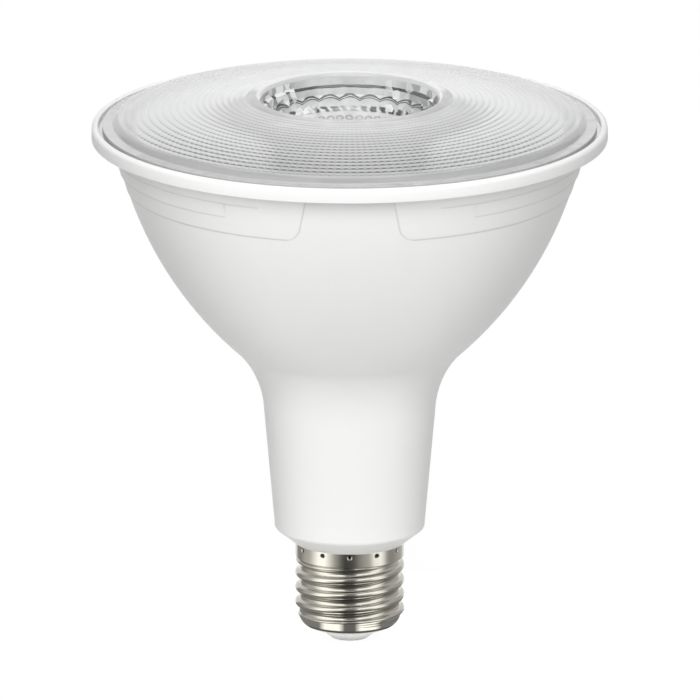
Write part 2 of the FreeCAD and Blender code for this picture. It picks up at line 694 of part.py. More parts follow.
def make_driver_sleeve():
    """Insulating sleeve, folded to straight sides, standing on the floor of the neck."""
    top_z = CORE_FLOOR_Z + SLEEVE_HEIGHT
    inner = SLEEVE_RADIUS - SLEEVE_WALL
    return flatted([
        point(inner, CORE_FLOOR_Z),
        point(SLEEVE_RADIUS, CORE_FLOOR_Z),
        point(SLEEVE_RADIUS, top_z),
        point(inner, top_z),
    ], SLEEVE_SIDES)


def make_driver_board():
    return block(
        FreeCAD.Vector(-DRIVER_HALF_WIDTH, DRIVER_FACE_Y, CORE_FLOOR_Z),
        FreeCAD.Vector(DRIVER_HALF_WIDTH, DRIVER_BACK_Y, DRIVER_TOP_Z),
    )


def placed(at):
    """Where a part's shares of the driver board bring it, across and up."""
    return at[0] * DRIVER_HALF_WIDTH, CORE_FLOOR_Z + at[1] * DRIVER_LENGTH


def fitted(shares):
    """Width, height and depth of a part from its shares of the driver board."""
    return shares[0] * DRIVER_HALF_WIDTH, shares[1] * DRIVER_LENGTH, shares[2] * DRIVER_HALF_WIDTH


def on_face(at, size, inset=0.0):
    """Box on the driver board's face, centred on its place there."""
    x, z = placed(at)
    width, height, depth = size
    return block(
        FreeCAD.Vector(x - width / 2 + inset, DRIVER_FACE_Y - depth, z - height / 2 + inset),
        FreeCAD.Vector(x + width / 2 - inset, DRIVER_FACE_Y, z + height / 2 - inset),
    )


def rounded_front(box, radius):
    """Rounds the two upright edges of a box that face away from the board."""
    front_y = box.BoundBox.YMin
    upright = [
        edge for edge in box.Edges
        if edge.BoundBox.YMax < front_y + 1e-6 and edge.BoundBox.ZLength > 1e-6
    ]
    return box.makeFillet(radius, upright)


def core_limb(gap):
    """The transformer core's middle limb, grown by a gap."""
    _, height, depth = fitted(CORE_SHARES)
    return on_face(CORE_AT, (CORE_LIMB * 1.6 + 2 * gap, height, depth + gap))


def make_transformer_core():
    """Ferrite core with a window on each side of its middle limb."""
    width, height, depth = fitted(CORE_SHARES)
    body = on_face(CORE_AT, (width, height, depth))
    window = on_face(CORE_AT, (width, height, depth + 1), CORE_LIMB)
    return one_solid(body.cut(window).fuse(core_limb(0)))


def make_transformer_winding():
    """Taped winding round the core's middle limb."""
    width, height, depth = fitted(CORE_SHARES)
    wound = on_face(CORE_AT, (width, height, depth + WINDING_PROUD), CORE_LIMB + WINDING_GAP)
    return one_solid(rounded_front(wound, WINDING_ROUND).cut(core_limb(WINDING_GAP)))


def can(at, shares):
    """Electrolytic capacitor's can, lying along the board's face."""
    x, z = placed(at)
    radius = shares[0] * DRIVER_HALF_WIDTH
    return disc(radius, z, shares[1] * DRIVER_LENGTH, x, DRIVER_FACE_Y - radius)


def make_input_capacitor():
    return can(INPUT_CAN_AT, INPUT_CAN_SHARES)


def make_output_capacitor():
    return can(OUTPUT_CAN_AT, OUTPUT_CAN_SHARES)


def make_film_capacitor():
    return rounded_front(on_face(FILM_AT, fitted(FILM_SHARES)), FILM_ROUND)


def make_filter_choke():
    """Shielded inductor: a square ferrite body with cut corners and a sunk round drum."""
    x, z = placed(CHOKE_AT)
    width, height, depth = fitted(CHOKE_SHARES)
    body = on_face(CHOKE_AT, (width, height, depth))
    corners = [edge for edge in body.Edges if abs(edge.BoundBox.YLength - depth) < 1e-6]
    body = body.makeChamfer(CHOKE_CORNER, corners)
    radius = CHOKE_DRUM_SHARE * (width + height) / 4
    drum = Part.makeCylinder(radius, CHOKE_DRUM_DEPTH, FreeCAD.Vector(x, DRIVER_FACE_Y - depth, z),
                             FreeCAD.Vector(0, 1, 0))
    return one_solid(body.cut(drum))


def leaded_package(at, shares, legs):
    """Moulded package on the board's back with a row of legs above and below."""
    x, z = placed(at)
    width, height, depth = fitted(shares)
    body = block(
        FreeCAD.Vector(x - width / 2, DRIVER_BACK_Y, z - height / 2),
        FreeCAD.Vector(x + width / 2, DRIVER_BACK_Y + depth, z + height / 2),
    )
    pitch = width / legs
    rows = []
    for index in range(legs):
        middle = x - width / 2 + pitch * (index + 0.5)
        rows.append(block(
            FreeCAD.Vector(middle - LEG_WIDTH / 2, DRIVER_BACK_Y, z - height / 2 - LEG_LENGTH),
            FreeCAD.Vector(middle + LEG_WIDTH / 2, DRIVER_BACK_Y + depth / 2, z + height / 2 + LEG_LENGTH),
        ))
    return one_solid(body.fuse(rows))


def make_bridge_rectifier():
    return leaded_package(RECTIFIER_AT, RECTIFIER_SHARES, RECTIFIER_LEGS)


def make_driver_chip():
    return leaded_package(CHIP_AT, CHIP_SHARES, CHIP_LEGS)


def make_fuse_resistor():
    """Fusible resistor lying along the board's face."""
    return can(FUSE_AT, FUSE_SHARES)


def make_surge_disc():
    """Disc varistor flat on the board's face."""
    x, z = placed(SURGE_AT)
    radius, thick = (share * DRIVER_HALF_WIDTH for share in SURGE_SHARES)
    return Part.makeCylinder(radius, thick, FreeCAD.Vector(x, DRIVER_FACE_Y, z), FreeCAD.Vector(0, -1, 0))


def make_board_pins():
    """Square pins on the driver's face, up through the dish into the light-source board."""
    return Part.makeCompound(pin_slot(0, DRIVER_TOP_Z - PIN_OVERLAP, BOARD_TOP_Z + PIN_PROUD))


def make_live_lead():
    """Lead from the driver's face straight down the axis to the contact's shank."""
    return disc(LEAD_RADIUS, SHANK_TOP_Z, CORE_FLOOR_Z + LEAD_OVERLAP - SHANK_TOP_Z)


def make_neutral_lead():
    """Lead from the driver's face down the spigot's channel, beside the cap's shell."""
    foot = point(CAP_BORE_RADIUS - LEAD_RADIUS - SPIGOT_CLEARANCE, SPIGOT_BASE_Z + LEAD_RADIUS)
    elbow = point(foot.x, SPIGOT_BASE_Z + LEAD_ELBOW)
    head = point(SPIGOT_BORE_RADIUS - LEAD_RADIUS - LEAD_INSET, CORE_FLOOR_Z + LEAD_OVERLAP)
    route = Part.Wire(Part.makePolygon([foot, elbow, head]))
    section = Part.Wire(Part.makeCircle(LEAD_RADIUS, foot, AXIS))
    mitred = 1
    return route.makePipeShell([section], True, False, mitred)


NODES = {
    "cap_shell": make_cap_shell,
    "cap_insulator": make_cap_insulator,
    "centre_contact": make_centre_contact,
    "housing": make_housing,
    "lens": make_lens,
    "heat_dish": make_heat_dish,
    "light_board": make_light_board,
    "light_chips": make_light_chips,
    "board_screws": make_board_screws,
    "reflector": make_reflector,
    "driver_sleeve": make_driver_sleeve,
    "driver_board": make_driver_board,
    "transformer_core": make_transformer_core,
    "transformer_winding": make_transformer_winding,
    "input_capacitor": make_input_capacitor,
    "output_capacitor": make_output_capacitor,
    "film_capacitor": make_film_capacitor,
    "filter_choke": make_filter_choke,
    "bridge_rectifier": make_bridge_rectifier,
    "driver_chip": make_driver_chip,
    "fuse_resistor": make_fuse_resistor,
    "surge_disc": make_surge_disc,
    "board_pins": make_board_pins,
    "live_lead": make_live_lead,
    "neutral_lead": make_neutral_lead,
}


def main():
    os.makedirs("parts", exist_ok=True)
    for name, make in NODES.items():
        shape = make()
        if not shape.isValid():
            raise ValueError("%s is not a valid solid" % name)
        shape.exportStep("parts/%s.step" % name)
        print("%-20s solids %2d volume %9.1f" % (name, len(shape.Solids), shape.Volume))


main()
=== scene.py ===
"""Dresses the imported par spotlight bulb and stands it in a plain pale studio."""

import logging
import math
from dataclasses import dataclass, field
from enum import Enum
from typing import Callable, Mapping, Optional, Sequence, Union

import bmesh
import bpy
from mathutils import Matrix, Vector

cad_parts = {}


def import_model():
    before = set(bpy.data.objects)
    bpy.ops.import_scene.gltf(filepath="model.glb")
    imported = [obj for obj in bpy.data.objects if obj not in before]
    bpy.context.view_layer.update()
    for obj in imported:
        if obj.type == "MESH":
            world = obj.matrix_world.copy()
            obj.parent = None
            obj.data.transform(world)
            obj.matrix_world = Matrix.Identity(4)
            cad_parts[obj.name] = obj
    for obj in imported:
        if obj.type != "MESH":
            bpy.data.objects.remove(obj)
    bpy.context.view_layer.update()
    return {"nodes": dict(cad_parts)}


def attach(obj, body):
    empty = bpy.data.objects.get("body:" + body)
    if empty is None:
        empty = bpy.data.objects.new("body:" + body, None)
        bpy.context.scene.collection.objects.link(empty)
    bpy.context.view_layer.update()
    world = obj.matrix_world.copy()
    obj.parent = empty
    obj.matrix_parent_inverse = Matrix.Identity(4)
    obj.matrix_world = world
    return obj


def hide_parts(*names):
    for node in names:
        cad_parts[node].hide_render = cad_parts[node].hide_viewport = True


LOG = logging.getLogger("bulb")
MM = 0.001
Pair = tuple[float, float]
Colour = tuple[float, float, float]
Place = tuple[float, float, float]
Socket = bpy.types.NodeSocket
Piece = bpy.types.Object
Material = bpy.types.Material
CardRow = tuple[float, float, Sequence[float]]


# Node trees


def operator(operation: str, swapped: bool = False) -> Callable[["Value", "Term"], "Value"]:
    """Makes an arithmetic operator that adds one Math node.

    Args:
        operation: the node's operation.
        swapped: whether the other term comes first.

    Returns:
        The method for the operator.
    """

    def apply(self: "Value", other: "Term") -> "Value":
        """Adds the node for two terms."""
        terms = (other, self) if swapped else (self, other)
        return self.maker.math(operation, *terms)

    return apply


class Value:
    """A socket of a node tree that takes part in Python arithmetic."""

    def __init__(self, maker: "NodeMaker", socket: Socket) -> None:
        """Keeps the socket and the maker that adds its nodes."""
        self.maker = maker
        self.socket = socket

    __add__ = __radd__ = operator("ADD")
    __sub__ = operator("SUBTRACT")
    __rsub__ = operator("SUBTRACT", swapped=True)
    __mul__ = __rmul__ = operator("MULTIPLY")
    __truediv__ = operator("DIVIDE")
    __pow__ = operator("POWER")

    def clamped(self) -> "Value":
        """The value held between 0 and 1."""
        return self.maker.math("ADD", self, 0.0, clamp=True)

    def between(self, low: float, high: float) -> "Value":
        """0 below the low value, 1 above the high one, and a straight rise from one to the other."""
        return ((self - low) / (high - low)).clamped()

    def cell(self) -> "Value":
        """A hump for each whole step: 0 at its ends and 1 in its middle."""
        share = self.maker.math("FRACT", self)
        return share * (1.0 - share) * 4.0


Term = Union[Value, float]


class NodeMaker:
    """Adds nodes to a shader or geometry tree."""

    def __init__(self, tree: bpy.types.NodeTree) -> None:
        """Keeps the tree."""
        self.tree = tree

    def node(
        self,
        kind: str,
        settings: Optional[Mapping[str, object]] = None,
        inputs: Optional[Mapping[Union[str, int], object]] = None,
    ) -> bpy.types.Node:
        """Adds one node.

        Args:
            kind: the node's type.
            settings: its options, set first. The name stops holds a ramp's places and colours.
            inputs: a number, colour, value or socket for each input, by name or place.

        Returns:
            The node.
        """
        made = self.tree.nodes.new(kind)
        for name, value in (settings or {}).items():
            if name == "stops":
                self._set_stops(made.color_ramp, value)
            else:
                setattr(made, name, value)
        for key, value in (inputs or {}).items():
            self.feed(made.inputs[key], value)
        return made

    def _set_stops(self, ramp: bpy.types.ColorRamp, stops: Sequence[tuple[float, Colour]]) -> None:
        """Replaces the stops of a colour ramp.

        Args:
            ramp: the ramp to change.
            stops: a place and a colour for each stop.
        """
        while len(ramp.elements) > 1:
            ramp.elements.remove(ramp.elements[-1])
        for index, (place, colour) in enumerate(stops):
            stop = ramp.elements[0] if index == 0 else ramp.elements.new(place)
            stop.position = place
            stop.color = (*colour, 1.0)

    def feed(self, socket: Socket, value: object) -> None:
        """Links a value or socket to an input, or sets it to a number or colour.

        Args:
            socket: the input.
            value: a value, a socket, a number or a colour.
        """
        if isinstance(value, Value):
            self.tree.links.new(value.socket, socket)
        elif isinstance(value, Socket):
            self.tree.links.new(value, socket)
        elif isinstance(value, tuple) and len(value) == 3 and socket.type == "RGBA":
            socket.default_value = (*value, 1.0)
        else:
            socket.default_value = value

    def value(self, node: bpy.types.Node, output: Union[str, int] = 0) -> Value:
        """One output of a node, ready for arithmetic."""
        return Value(self, node.outputs[output])

    def math(self, operation: str, *operands: Term, clamp: bool = False) -> Value:
        """Adds one Math node and returns its result."""
        settings = {"operation": operation, "use_clamp": clamp}
        return self.value(self.node("ShaderNodeMath", settings, dict(enumerate(operands))))

    def blend(self, share: Term, low: object, high: object) -> Value:
        """Mixes two colours by a share."""
        made = self.node("ShaderNodeMix", {"data_type": "RGBA"}, {0: share, 6: low, 7: high})
        return self.value(made, 2)

    def noise(self, vector: object, scale: float, detail: float = 2.0) -> Value:
        """Grain of a given scale along a vector, around one half."""
        made = self.node("ShaderNodeTexNoise", None, {"Vector": vector, "Scale": scale, "Detail": detail})
        return self.value(made)

    def mark(self, name: str) -> Value:
        """A number that the mesh holds at each of its points."""
        return self.value(self.node("ShaderNodeAttribute", {"attribute_name": name}), "Fac")

    def bump(self, height: Value, strength: float, distance: float) -> Value:
        """Normal of a height pattern. The distance is in metres."""
        inputs = {"Height": height, "Strength": strength, "Distance": distance}
        return self.value(self.node("ShaderNodeBump", None, inputs))


def dimmed(colour: Colour, share: float) -> Colour:
    """A colour with every part multiplied by a share."""
    red, green, blue = colour
    return red * share, green * share, blue * share


class Finish:
    """Base of every finish: it makes one material with its own nodes."""

    name: str

    def make(self) -> Material:
        """Makes the material, or returns the one that was made before.

        Returns:
            The material.
        """
        title = self.name + "_finish"
        known = bpy.data.materials.get(title)
        if known is not None:
            return known
        material = bpy.data.materials.new(title)
        material.use_nodes = True
        material.node_tree.nodes.clear()
        maker = NodeMaker(material.node_tree)
        place = maker.node("ShaderNodeTexCoord").outputs["Object"]
        surface = self.surface(maker, place)
        maker.node("ShaderNodeOutputMaterial", None, {"Surface": surface})
        return material

    def surface(self, maker: NodeMaker, place: Socket) -> Socket:
        """Adds the finish's nodes and returns their shader."""
        raise NotImplementedError

    @staticmethod
    def principled(maker: NodeMaker, **inputs: object) -> Socket:
        """Adds the main shader. Underlines in the names stand for spaces."""
        named = {key.replace("_", " "): value for key, value in inputs.items()}
        return maker.node("ShaderNodeBsdfPrincipled", None, named).outputs["BSDF"]

    @staticmethod
    def axes(maker: NodeMaker, place: Socket) -> tuple[Value, Value, Value]:
        """The place on the object along X, Y and Z, in millimetres.

        Args:
            maker: adds the material's nodes.
            place: the place on the object, in metres.

        Returns:
            Three values.
        """
        parts = maker.node("ShaderNodeSeparateXYZ", None, {0: place})
        x, y, z = (maker.value(parts, index) * 1000.0 for index in range(3))
        return x, y, z


@dataclass(frozen=True)
class Moulding(Finish):
    """Moulded or dipped plastic with a fine grain."""

    name: str
    colour: Colour
    roughness: float = 0.4
    grain: float = 0.00002
    mottle: float = 0.03

    def surface(self, maker: NodeMaker, place: Socket) -> Socket:
        """Adds colour that drifts a little, and a fine grain in the gloss and the bump.

        Args:
            maker: adds the material's nodes.
            place: the place on the object, in metres.

        Returns:
            The shader.
        """
        drift = maker.noise(place, 60.0, 3.0)
        fine = maker.noise(place, 2600.0, 2.0)
        return self.principled(
            maker,
            Base_Color=maker.blend(drift, dimmed(self.colour, 1.0 - self.mottle), self.colour),
            Roughness=(self.roughness - 0.04) + fine * 0.08,
            Normal=maker.bump(fine, 0.25, self.grain),
        )


@dataclass(frozen=True)
class HousingWhite(Finish):
    """White satin moulding with painted shade along the panels' edges and in the corner under the rim."""

    name: str = "housing_white"
    colour: Colour = (0.86, 0.86, 0.855)
    painted_shade_colour: Colour = (0.66, 0.665, 0.66)

    def surface(self, maker: NodeMaker, place: Socket) -> Socket:
        """Adds the white, painted shade along the panels' edges and in the corner under the rim, and a
        fine grain.

        Args:
            maker: adds the material's nodes.
            place: the place on the object, in metres.

        Returns:
            The shader.
        """
        drift = maker.noise(place, 45.0, 2.0)
        fine = maker.noise(place, 2200.0, 2.0)
        white = maker.blend(drift, dimmed(self.colour, 0.985), self.colour)
        return self.principled(
            maker,
            # Painted shade: the edge mark darkens soft lines along the panels' steps and the corner under
            # the rim.
            Base_Color=maker.blend(maker.mark("edge").clamped(), white, self.painted_shade_colour),
            Roughness=0.42 + fine * 0.08,
            Specular_IOR_Level=0.35,
            Normal=maker.bump(fine, 0.2, 0.00001),
        )


@dataclass(frozen=True)
class PlatedMetal(Finish):
    """Rolled or pressed metal with fine marks that run round the axis."""

    name: str
    colour: Colour
    roughness: float = 0.2
    marks: float = 0.000002

    def surface(self, maker: NodeMaker, place: Socket) -> Socket:
        """Adds bright metal, faint turning marks, clouded gloss and painted shade in the punch dents.

        Args:
            maker: adds the material's nodes.
            place: the place on the object, in metres.

        Returns:
            The shader.
        """
        x, y, z = self.axes(maker, place)
        stretched = maker.node("ShaderNodeCombineXYZ", None, {0: x * 0.02, 1: y * 0.02, 2: z * 0.6})
        turning = maker.noise(stretched.outputs[0], 4.0, 2.0)
        cloud = maker.noise(place, 180.0, 3.0)
        bright = maker.blend(cloud, dimmed(self.colour, 0.8), self.colour)
        # Painted shade: the punch dents, marked by the edge attribute, are painted nearly black.
        painted_dent_shade = dimmed(self.colour, 0.04)
        return self.principled(
            maker,
            Base_Color=maker.blend(maker.mark("edge").clamped(), bright, painted_dent_shade),
            Metallic=1.0,
            Roughness=(self.roughness - 0.03) + cloud * 0.06,
            Normal=maker.bump(turning, 0.08, self.marks),
        )


class LensPart(Enum):
    """The surfaces of the lens."""

    PILLOWS = "lens_pillows"
    CLEAR = "lens_clear"
    STEP = "lens_step"
    WELL = "lens_well"
    EDGE = "lens_edge"


@dataclass(frozen=True)
class PillowGrid:
    """The rule of the lens's pattern, in millimetres: spokes, and rings that drop at their outer edge."""

    spokes: int = 180
    first_radius: float = 30.7
    first_step: float = 1.5
    growth: float = 0.0135
    sag: float = 0.02
    drop: float = 0.045

    def ring(self, radius: float) -> float:
        """Number of the ring at a radius."""
        inner = self.first_step**2 + 4 * self.growth * (radius - self.first_radius)
        return (math.sqrt(inner) - self.first_step) / (2 * self.growth)

    def radius(self, ring: float) -> float:
        """Radius of a ring."""
        return self.first_radius + self.first_step * ring + self.growth * ring**2

    def ring_value(self, maker: NodeMaker, radius: Value) -> Value:
        """Number of the ring, as nodes."""
        inner = (radius - self.first_radius) * (4 * self.growth) + self.first_step**2
        return (maker.math("SQRT", inner) - self.first_step) / (2 * self.growth)

    def spoke_value(self, maker: NodeMaker, x: Value, y: Value) -> Value:
        """Number of the spoke, as nodes."""
        turn = maker.math("ARCTAN2", y, x) / math.tau
        return (turn + 1.0) * float(self.spokes)


@dataclass(frozen=True)
class LensClear(Finish):
    """Clear moulding of the lens, one finish for each of its surfaces."""

    part: LensPart
    grid: PillowGrid = PillowGrid()
    # Where the well's painted dark lines, painted images of the optics' cells and painted bead rings lie,
    # in millimetres.
    ledge_line: Pair = (131.95, 0.3)
    scallop_lines: tuple[tuple[float, float, float], ...] = ((129.2, 0.22, 1.0), (128.7, 0.16, 0.8))
    blob_band: Pair = (127.0, 0.7)
    bead_z: float = 124.8
    beads: float = 48.0

    @property
    def name(self) -> str:
        """Name of the material."""
        return self.part.value

    def surface(self, maker: NodeMaker, place: Socket) -> Socket:
        """Adds clear plastic that lets the studio's light through to what is under it.

        Args:
            maker: adds the material's nodes.
            place: the place on the object, in metres.

        Returns:
            The shader.
        """
        makers = {
            LensPart.PILLOWS: self._pillows,
            LensPart.CLEAR: self._clear,
            LensPart.STEP: self._step,
            LensPart.WELL: self._well,
            LensPart.EDGE: self._edge,
        }
        solid = makers[self.part](maker, place)
        window = maker.node("ShaderNodeBsdfTransparent", None, {"Color": (0.92, 0.92, 0.92)})
        shadow = maker.node("ShaderNodeLightPath").outputs["Is Shadow Ray"]
        inputs = {0: shadow, 1: solid, 2: window.outputs[0]}
        return maker.node("ShaderNodeMixShader", None, inputs).outputs[0]

    def _pillows(self, maker: NodeMaker, place: Socket) -> Socket:
        """Small pillows with painted shade: darker towards their outer edge, in the grooves between the
        spokes, towards the lens's rim and where they are seen square on.

        Args:
            maker: adds the material's nodes.
            place: the place on the object, in metres.

        Returns:
            The shader.
        """
        x, y, _ = self.axes(maker, place)
        radius = maker.math("SQRT", x * x + y * y)
        share = maker.math("FRACT", self.grid.ring_value(maker, radius) + 20.0)
        riser = share.between(0.45, 0.95)
        across = self.grid.spoke_value(maker, x, y).cell()
        outwards = radius.between(25.0, 50.0) * 0.75 + 0.25
        # Painted shade: the pillows are painted darker where they are seen square on, and darker towards
        # the lens's rim.
        painted_square_on_shade = 1.0 - self._glancing(maker).between(0.56, 0.74)
        cells = riser * (across * 0.95 + 0.05) + (1.0 - across) ** 4.0 * 0.3
        depth = cells * outwards * (painted_square_on_shade * 0.85 + 0.15) + painted_square_on_shade * outwards * 0.36
        return self.principled(
            maker,
            # The dark end of this blend is painted shade on the pillows' risers and in the grooves
            # between the spokes.
            Base_Color=maker.blend(depth.clamped(), (0.83, 0.835, 0.835), (0.14, 0.145, 0.145)),
            Roughness=0.1,
            IOR=1.55,
            Transmission_Weight=0.4,
        )

    @staticmethod
    def _glancing(maker: NodeMaker) -> Value:
        """0 where the surface is seen square on, and 1 where it is seen along itself."""
        return maker.value(maker.node("ShaderNodeLayerWeight", None, {"Blend": 0.5}), "Facing")

    def _step(self, maker: NodeMaker, place: Socket) -> Socket:
        """Step and flange round the dome, with a fine frost and a painted reflection that lightens them
        where they are seen at a glance.

        Args:
            maker: adds the material's nodes.
            place: the place on the object, in metres.

        Returns:
            The shader.
        """
        frost = maker.noise(place, 1500.0, 3.0)
        # Painted reflection: the step and flange are painted lighter where they are seen at a glance.
        light = self._glancing(maker).between(0.2, 0.8) * 0.9 + frost * 0.1
        return self.principled(
            maker,
            Base_Color=maker.blend(light, (0.68, 0.685, 0.685), (0.88, 0.88, 0.88)),
            Roughness=0.05 + frost * 0.05,
            IOR=1.49,
            Transmission_Weight=0.55,
        )

    def _edge(self, maker: NodeMaker, place: Socket) -> Socket:
        """Deep outer edge, painted dark as the shade in the narrow groove between the lens and the rim.

        Args:
            maker: adds the material's nodes.
            place: the place on the object, in metres.

        Returns:
            The shader.
        """
        frost = maker.noise(place, 900.0, 2.0)
        return self.principled(
            maker,
            Base_Color=maker.blend(frost, (0.32, 0.325, 0.325), (0.42, 0.42, 0.42)),
            Roughness=0.3,
            IOR=1.49,
        )

    def _clear(self, maker: NodeMaker, place: Socket) -> Socket:
        """Polished plastic.

        Args:
            maker: adds the material's nodes.
            place: the place on the object, in metres.

        Returns:
            The shader.
        """
        ripple = maker.noise(place, 220.0, 1.0)
        return self.principled(
            maker,
            Base_Color=(0.9, 0.905, 0.905),
            Roughness=0.02 + ripple * 0.02,
            IOR=1.49,
            Transmission_Weight=1.0,
            Normal=maker.bump(ripple, 0.1, 0.0001),
        )

    def _well(self, maker: NodeMaker, place: Socket) -> Socket:
        """Well's wall, with painted shade along the ledges and the scallops, painted dark images of the
        optics' cells and bead rings behind it, and painted glints at its sides.

        Args:
            maker: adds the material's nodes.
            place: the place on the object, in metres.

        Returns:
            The shader.
        """
        x, y, z = self.axes(maker, place)
        turn = maker.math("ARCTAN2", x, y) / math.tau + 1.0
        away = maker.math("ABSOLUTE", maker.math("ARCTAN2", x, y)) * (180.0 / math.pi)
        loose = maker.noise(place, 420.0, 2.0) - 0.5
        scallop = z - ((turn * (self.beads / 2.0) + 0.5).cell() * 0.85 + loose * 0.5)
        height = z + loose * 0.25
        # Painted shade: dark lines along the ledges and the scallops.
        lines = self._line(maker, height, *self.ledge_line)
        for at, half, depth in self.scallop_lines:
            lines = maker.math("MAXIMUM", lines, self._line(maker, scallop, at, half) * depth)
        # Painted dark images of the optics' cells and, below them, their bead rings, as seen through the
        # wall.
        cells = (turn * self.beads + loose * 1.2 + (z - self.blob_band[0]) * 0.14).cell()
        painted_cell_images = (cells * 1.8 - 0.7).clamped() * self._line(maker, height, *self.blob_band)
        painted_cell_images = painted_cell_images * (away.between(2.0, 22.0) * 0.7 + 0.2)
        across = (maker.math("FRACT", turn * self.beads + 0.5) + loose * 0.5 - 0.5) * 2.2
        up = (z - self.bead_z) / 0.7
        ring = 1.0 - maker.math("ABSOLUTE", maker.math("SQRT", across * across + up * up) - 0.7) * 2.6
        glass = maker.node("ShaderNodeCombineXYZ", None, {0: x * 0.6, 1: y * 0.35, 2: z * 0.5}).outputs[0]
        facets = maker.node("ShaderNodeTexVoronoi", {"feature": "F1"}, {"Vector": glass, "Scale": 1.0})
        shards = maker.value(maker.node("ShaderNodeSeparateColor", None, {0: facets.outputs["Color"]}))
        sides = away.between(28.0, 50.0) * (1.0 - away.between(115.0, 135.0))
        dark = maker.math("MAXIMUM", maker.math("MAXIMUM", lines * 0.8, painted_cell_images), ring.clamped() * 0.35)
        wall = z.between(121.5, 123.5)
        # Painted glints: light spots among the facets at the sides.
        painted_glints = shards.between(0.8, 0.86) * away.between(20.0, 34.0)
        veil = 0.3 + sides * shards * 0.5 + loose * 0.3
        tone = (dark * wall + veil) * (1.0 - painted_glints)
        return self.principled(
            maker,
            Base_Color=maker.blend(tone.clamped(), (0.82, 0.825, 0.825), (0.05, 0.055, 0.055)),
            Roughness=0.03 + dark * 0.1,
            IOR=1.49,
            Transmission_Weight=0.35,
            Normal=maker.bump(dark + shards * sides * 2.0, 0.6, 0.0004),
        )

    @staticmethod
    def _line(maker: NodeMaker, height: Value, at: float, half: float) -> Value:
        """A soft band round the wall: 1 at its height and 0 beyond its half width."""
        return (1.0 - maker.math("ABSOLUTE", height - at) / half).between(0.0, 0.5)


@dataclass(frozen=True)
class SolderMask(Finish):
    """Lacquered board with faint copper lanes under the lacquer."""

    name: str
    colour: Colour
    lane: Colour

    def surface(self, maker: NodeMaker, place: Socket) -> Socket:
        """Adds lanes on a grid, and the lacquer's soft gloss.

        Args:
            maker: adds the material's nodes.
            place: the place on the object, in metres.

        Returns:
            The shader.
        """
        x, _, z = self.axes(maker, place)
        lanes = maker.math("MAXIMUM", (x / 3.2).cell() ** 14.0, (z / 4.1 + x / 9.0).cell() ** 14.0)
        fine = maker.noise(place, 1800.0, 2.0)
        return self.principled(
            maker,
            Base_Color=maker.blend(lanes, self.colour, self.lane),
            Roughness=0.3 + fine * 0.1,
            Normal=maker.bump(lanes, 0.3, 0.00003),
        )


# Mesh building


def arc(start: Pair, end: Pair, bulge: float, steps: int) -> list[Pair]:
    """Points after the start along an arc, which a positive bulge bows to the right of its way.

    Args:
        start: radius and height before the arc.
        end: radius and height of its last point.
        bulge: how far its middle stands off the straight line.
        steps: the number of points.

    Returns:
        The points.
    """
    chord = math.hypot(end[0] - start[0], end[1] - start[1])
    along = ((end[0] - start[0]) / chord, (end[1] - start[1]) / chord)
    radius = (chord**2 / 4 + bulge**2) / (2 * abs(bulge))
    half = math.asin(min(1.0, chord / (2 * radius)))
    points = []
    for step in range(1, steps + 1):
        angle = half * (2 * step / steps - 1)
        run = chord / 2 + radius * math.sin(angle)
        rise = math.copysign(radius * (math.cos(angle) - math.cos(half)), bulge)
        points.append((
            start[0] + along[0] * run + along[1] * rise,
            start[1] + along[1] * run - along[0] * rise,
        ))
    return points


def spread(low: float, high: float, steps: int) -> list[float]:
    """Even values from the low one to the high one."""
    return [low + (high - low) * step / steps for step in range(steps + 1)]


def turns(columns: int) -> list[float]:
    """Even angles once round the axis, in radians."""
    return spread(0.0, math.tau, columns)[:-1]


def polar(radius: float, angle: float, z: float) -> Place:
    """Point at a radius, an angle about the axis and a height."""
    return radius * math.cos(angle), radius * math.sin(angle), z


def smooth(low: float, high: float, value: float) -> float:
    """0 below the low value, 1 above the high one, and a soft rise from one to the other."""
    share = min(1.0, max(0.0, (value - low) / (high - low)))
    return share * share * (3 - 2 * share)


def show(name: str, data: bpy.types.ID) -> Piece:
    """Links a new object to the scene.

    Args:
        name: the object's name.
        data: its mesh, lamp or camera.

    Returns:
        The object.
    """
    made = bpy.data.objects.new(name, data)
    bpy.context.scene.collection.objects.link(made)
    return made


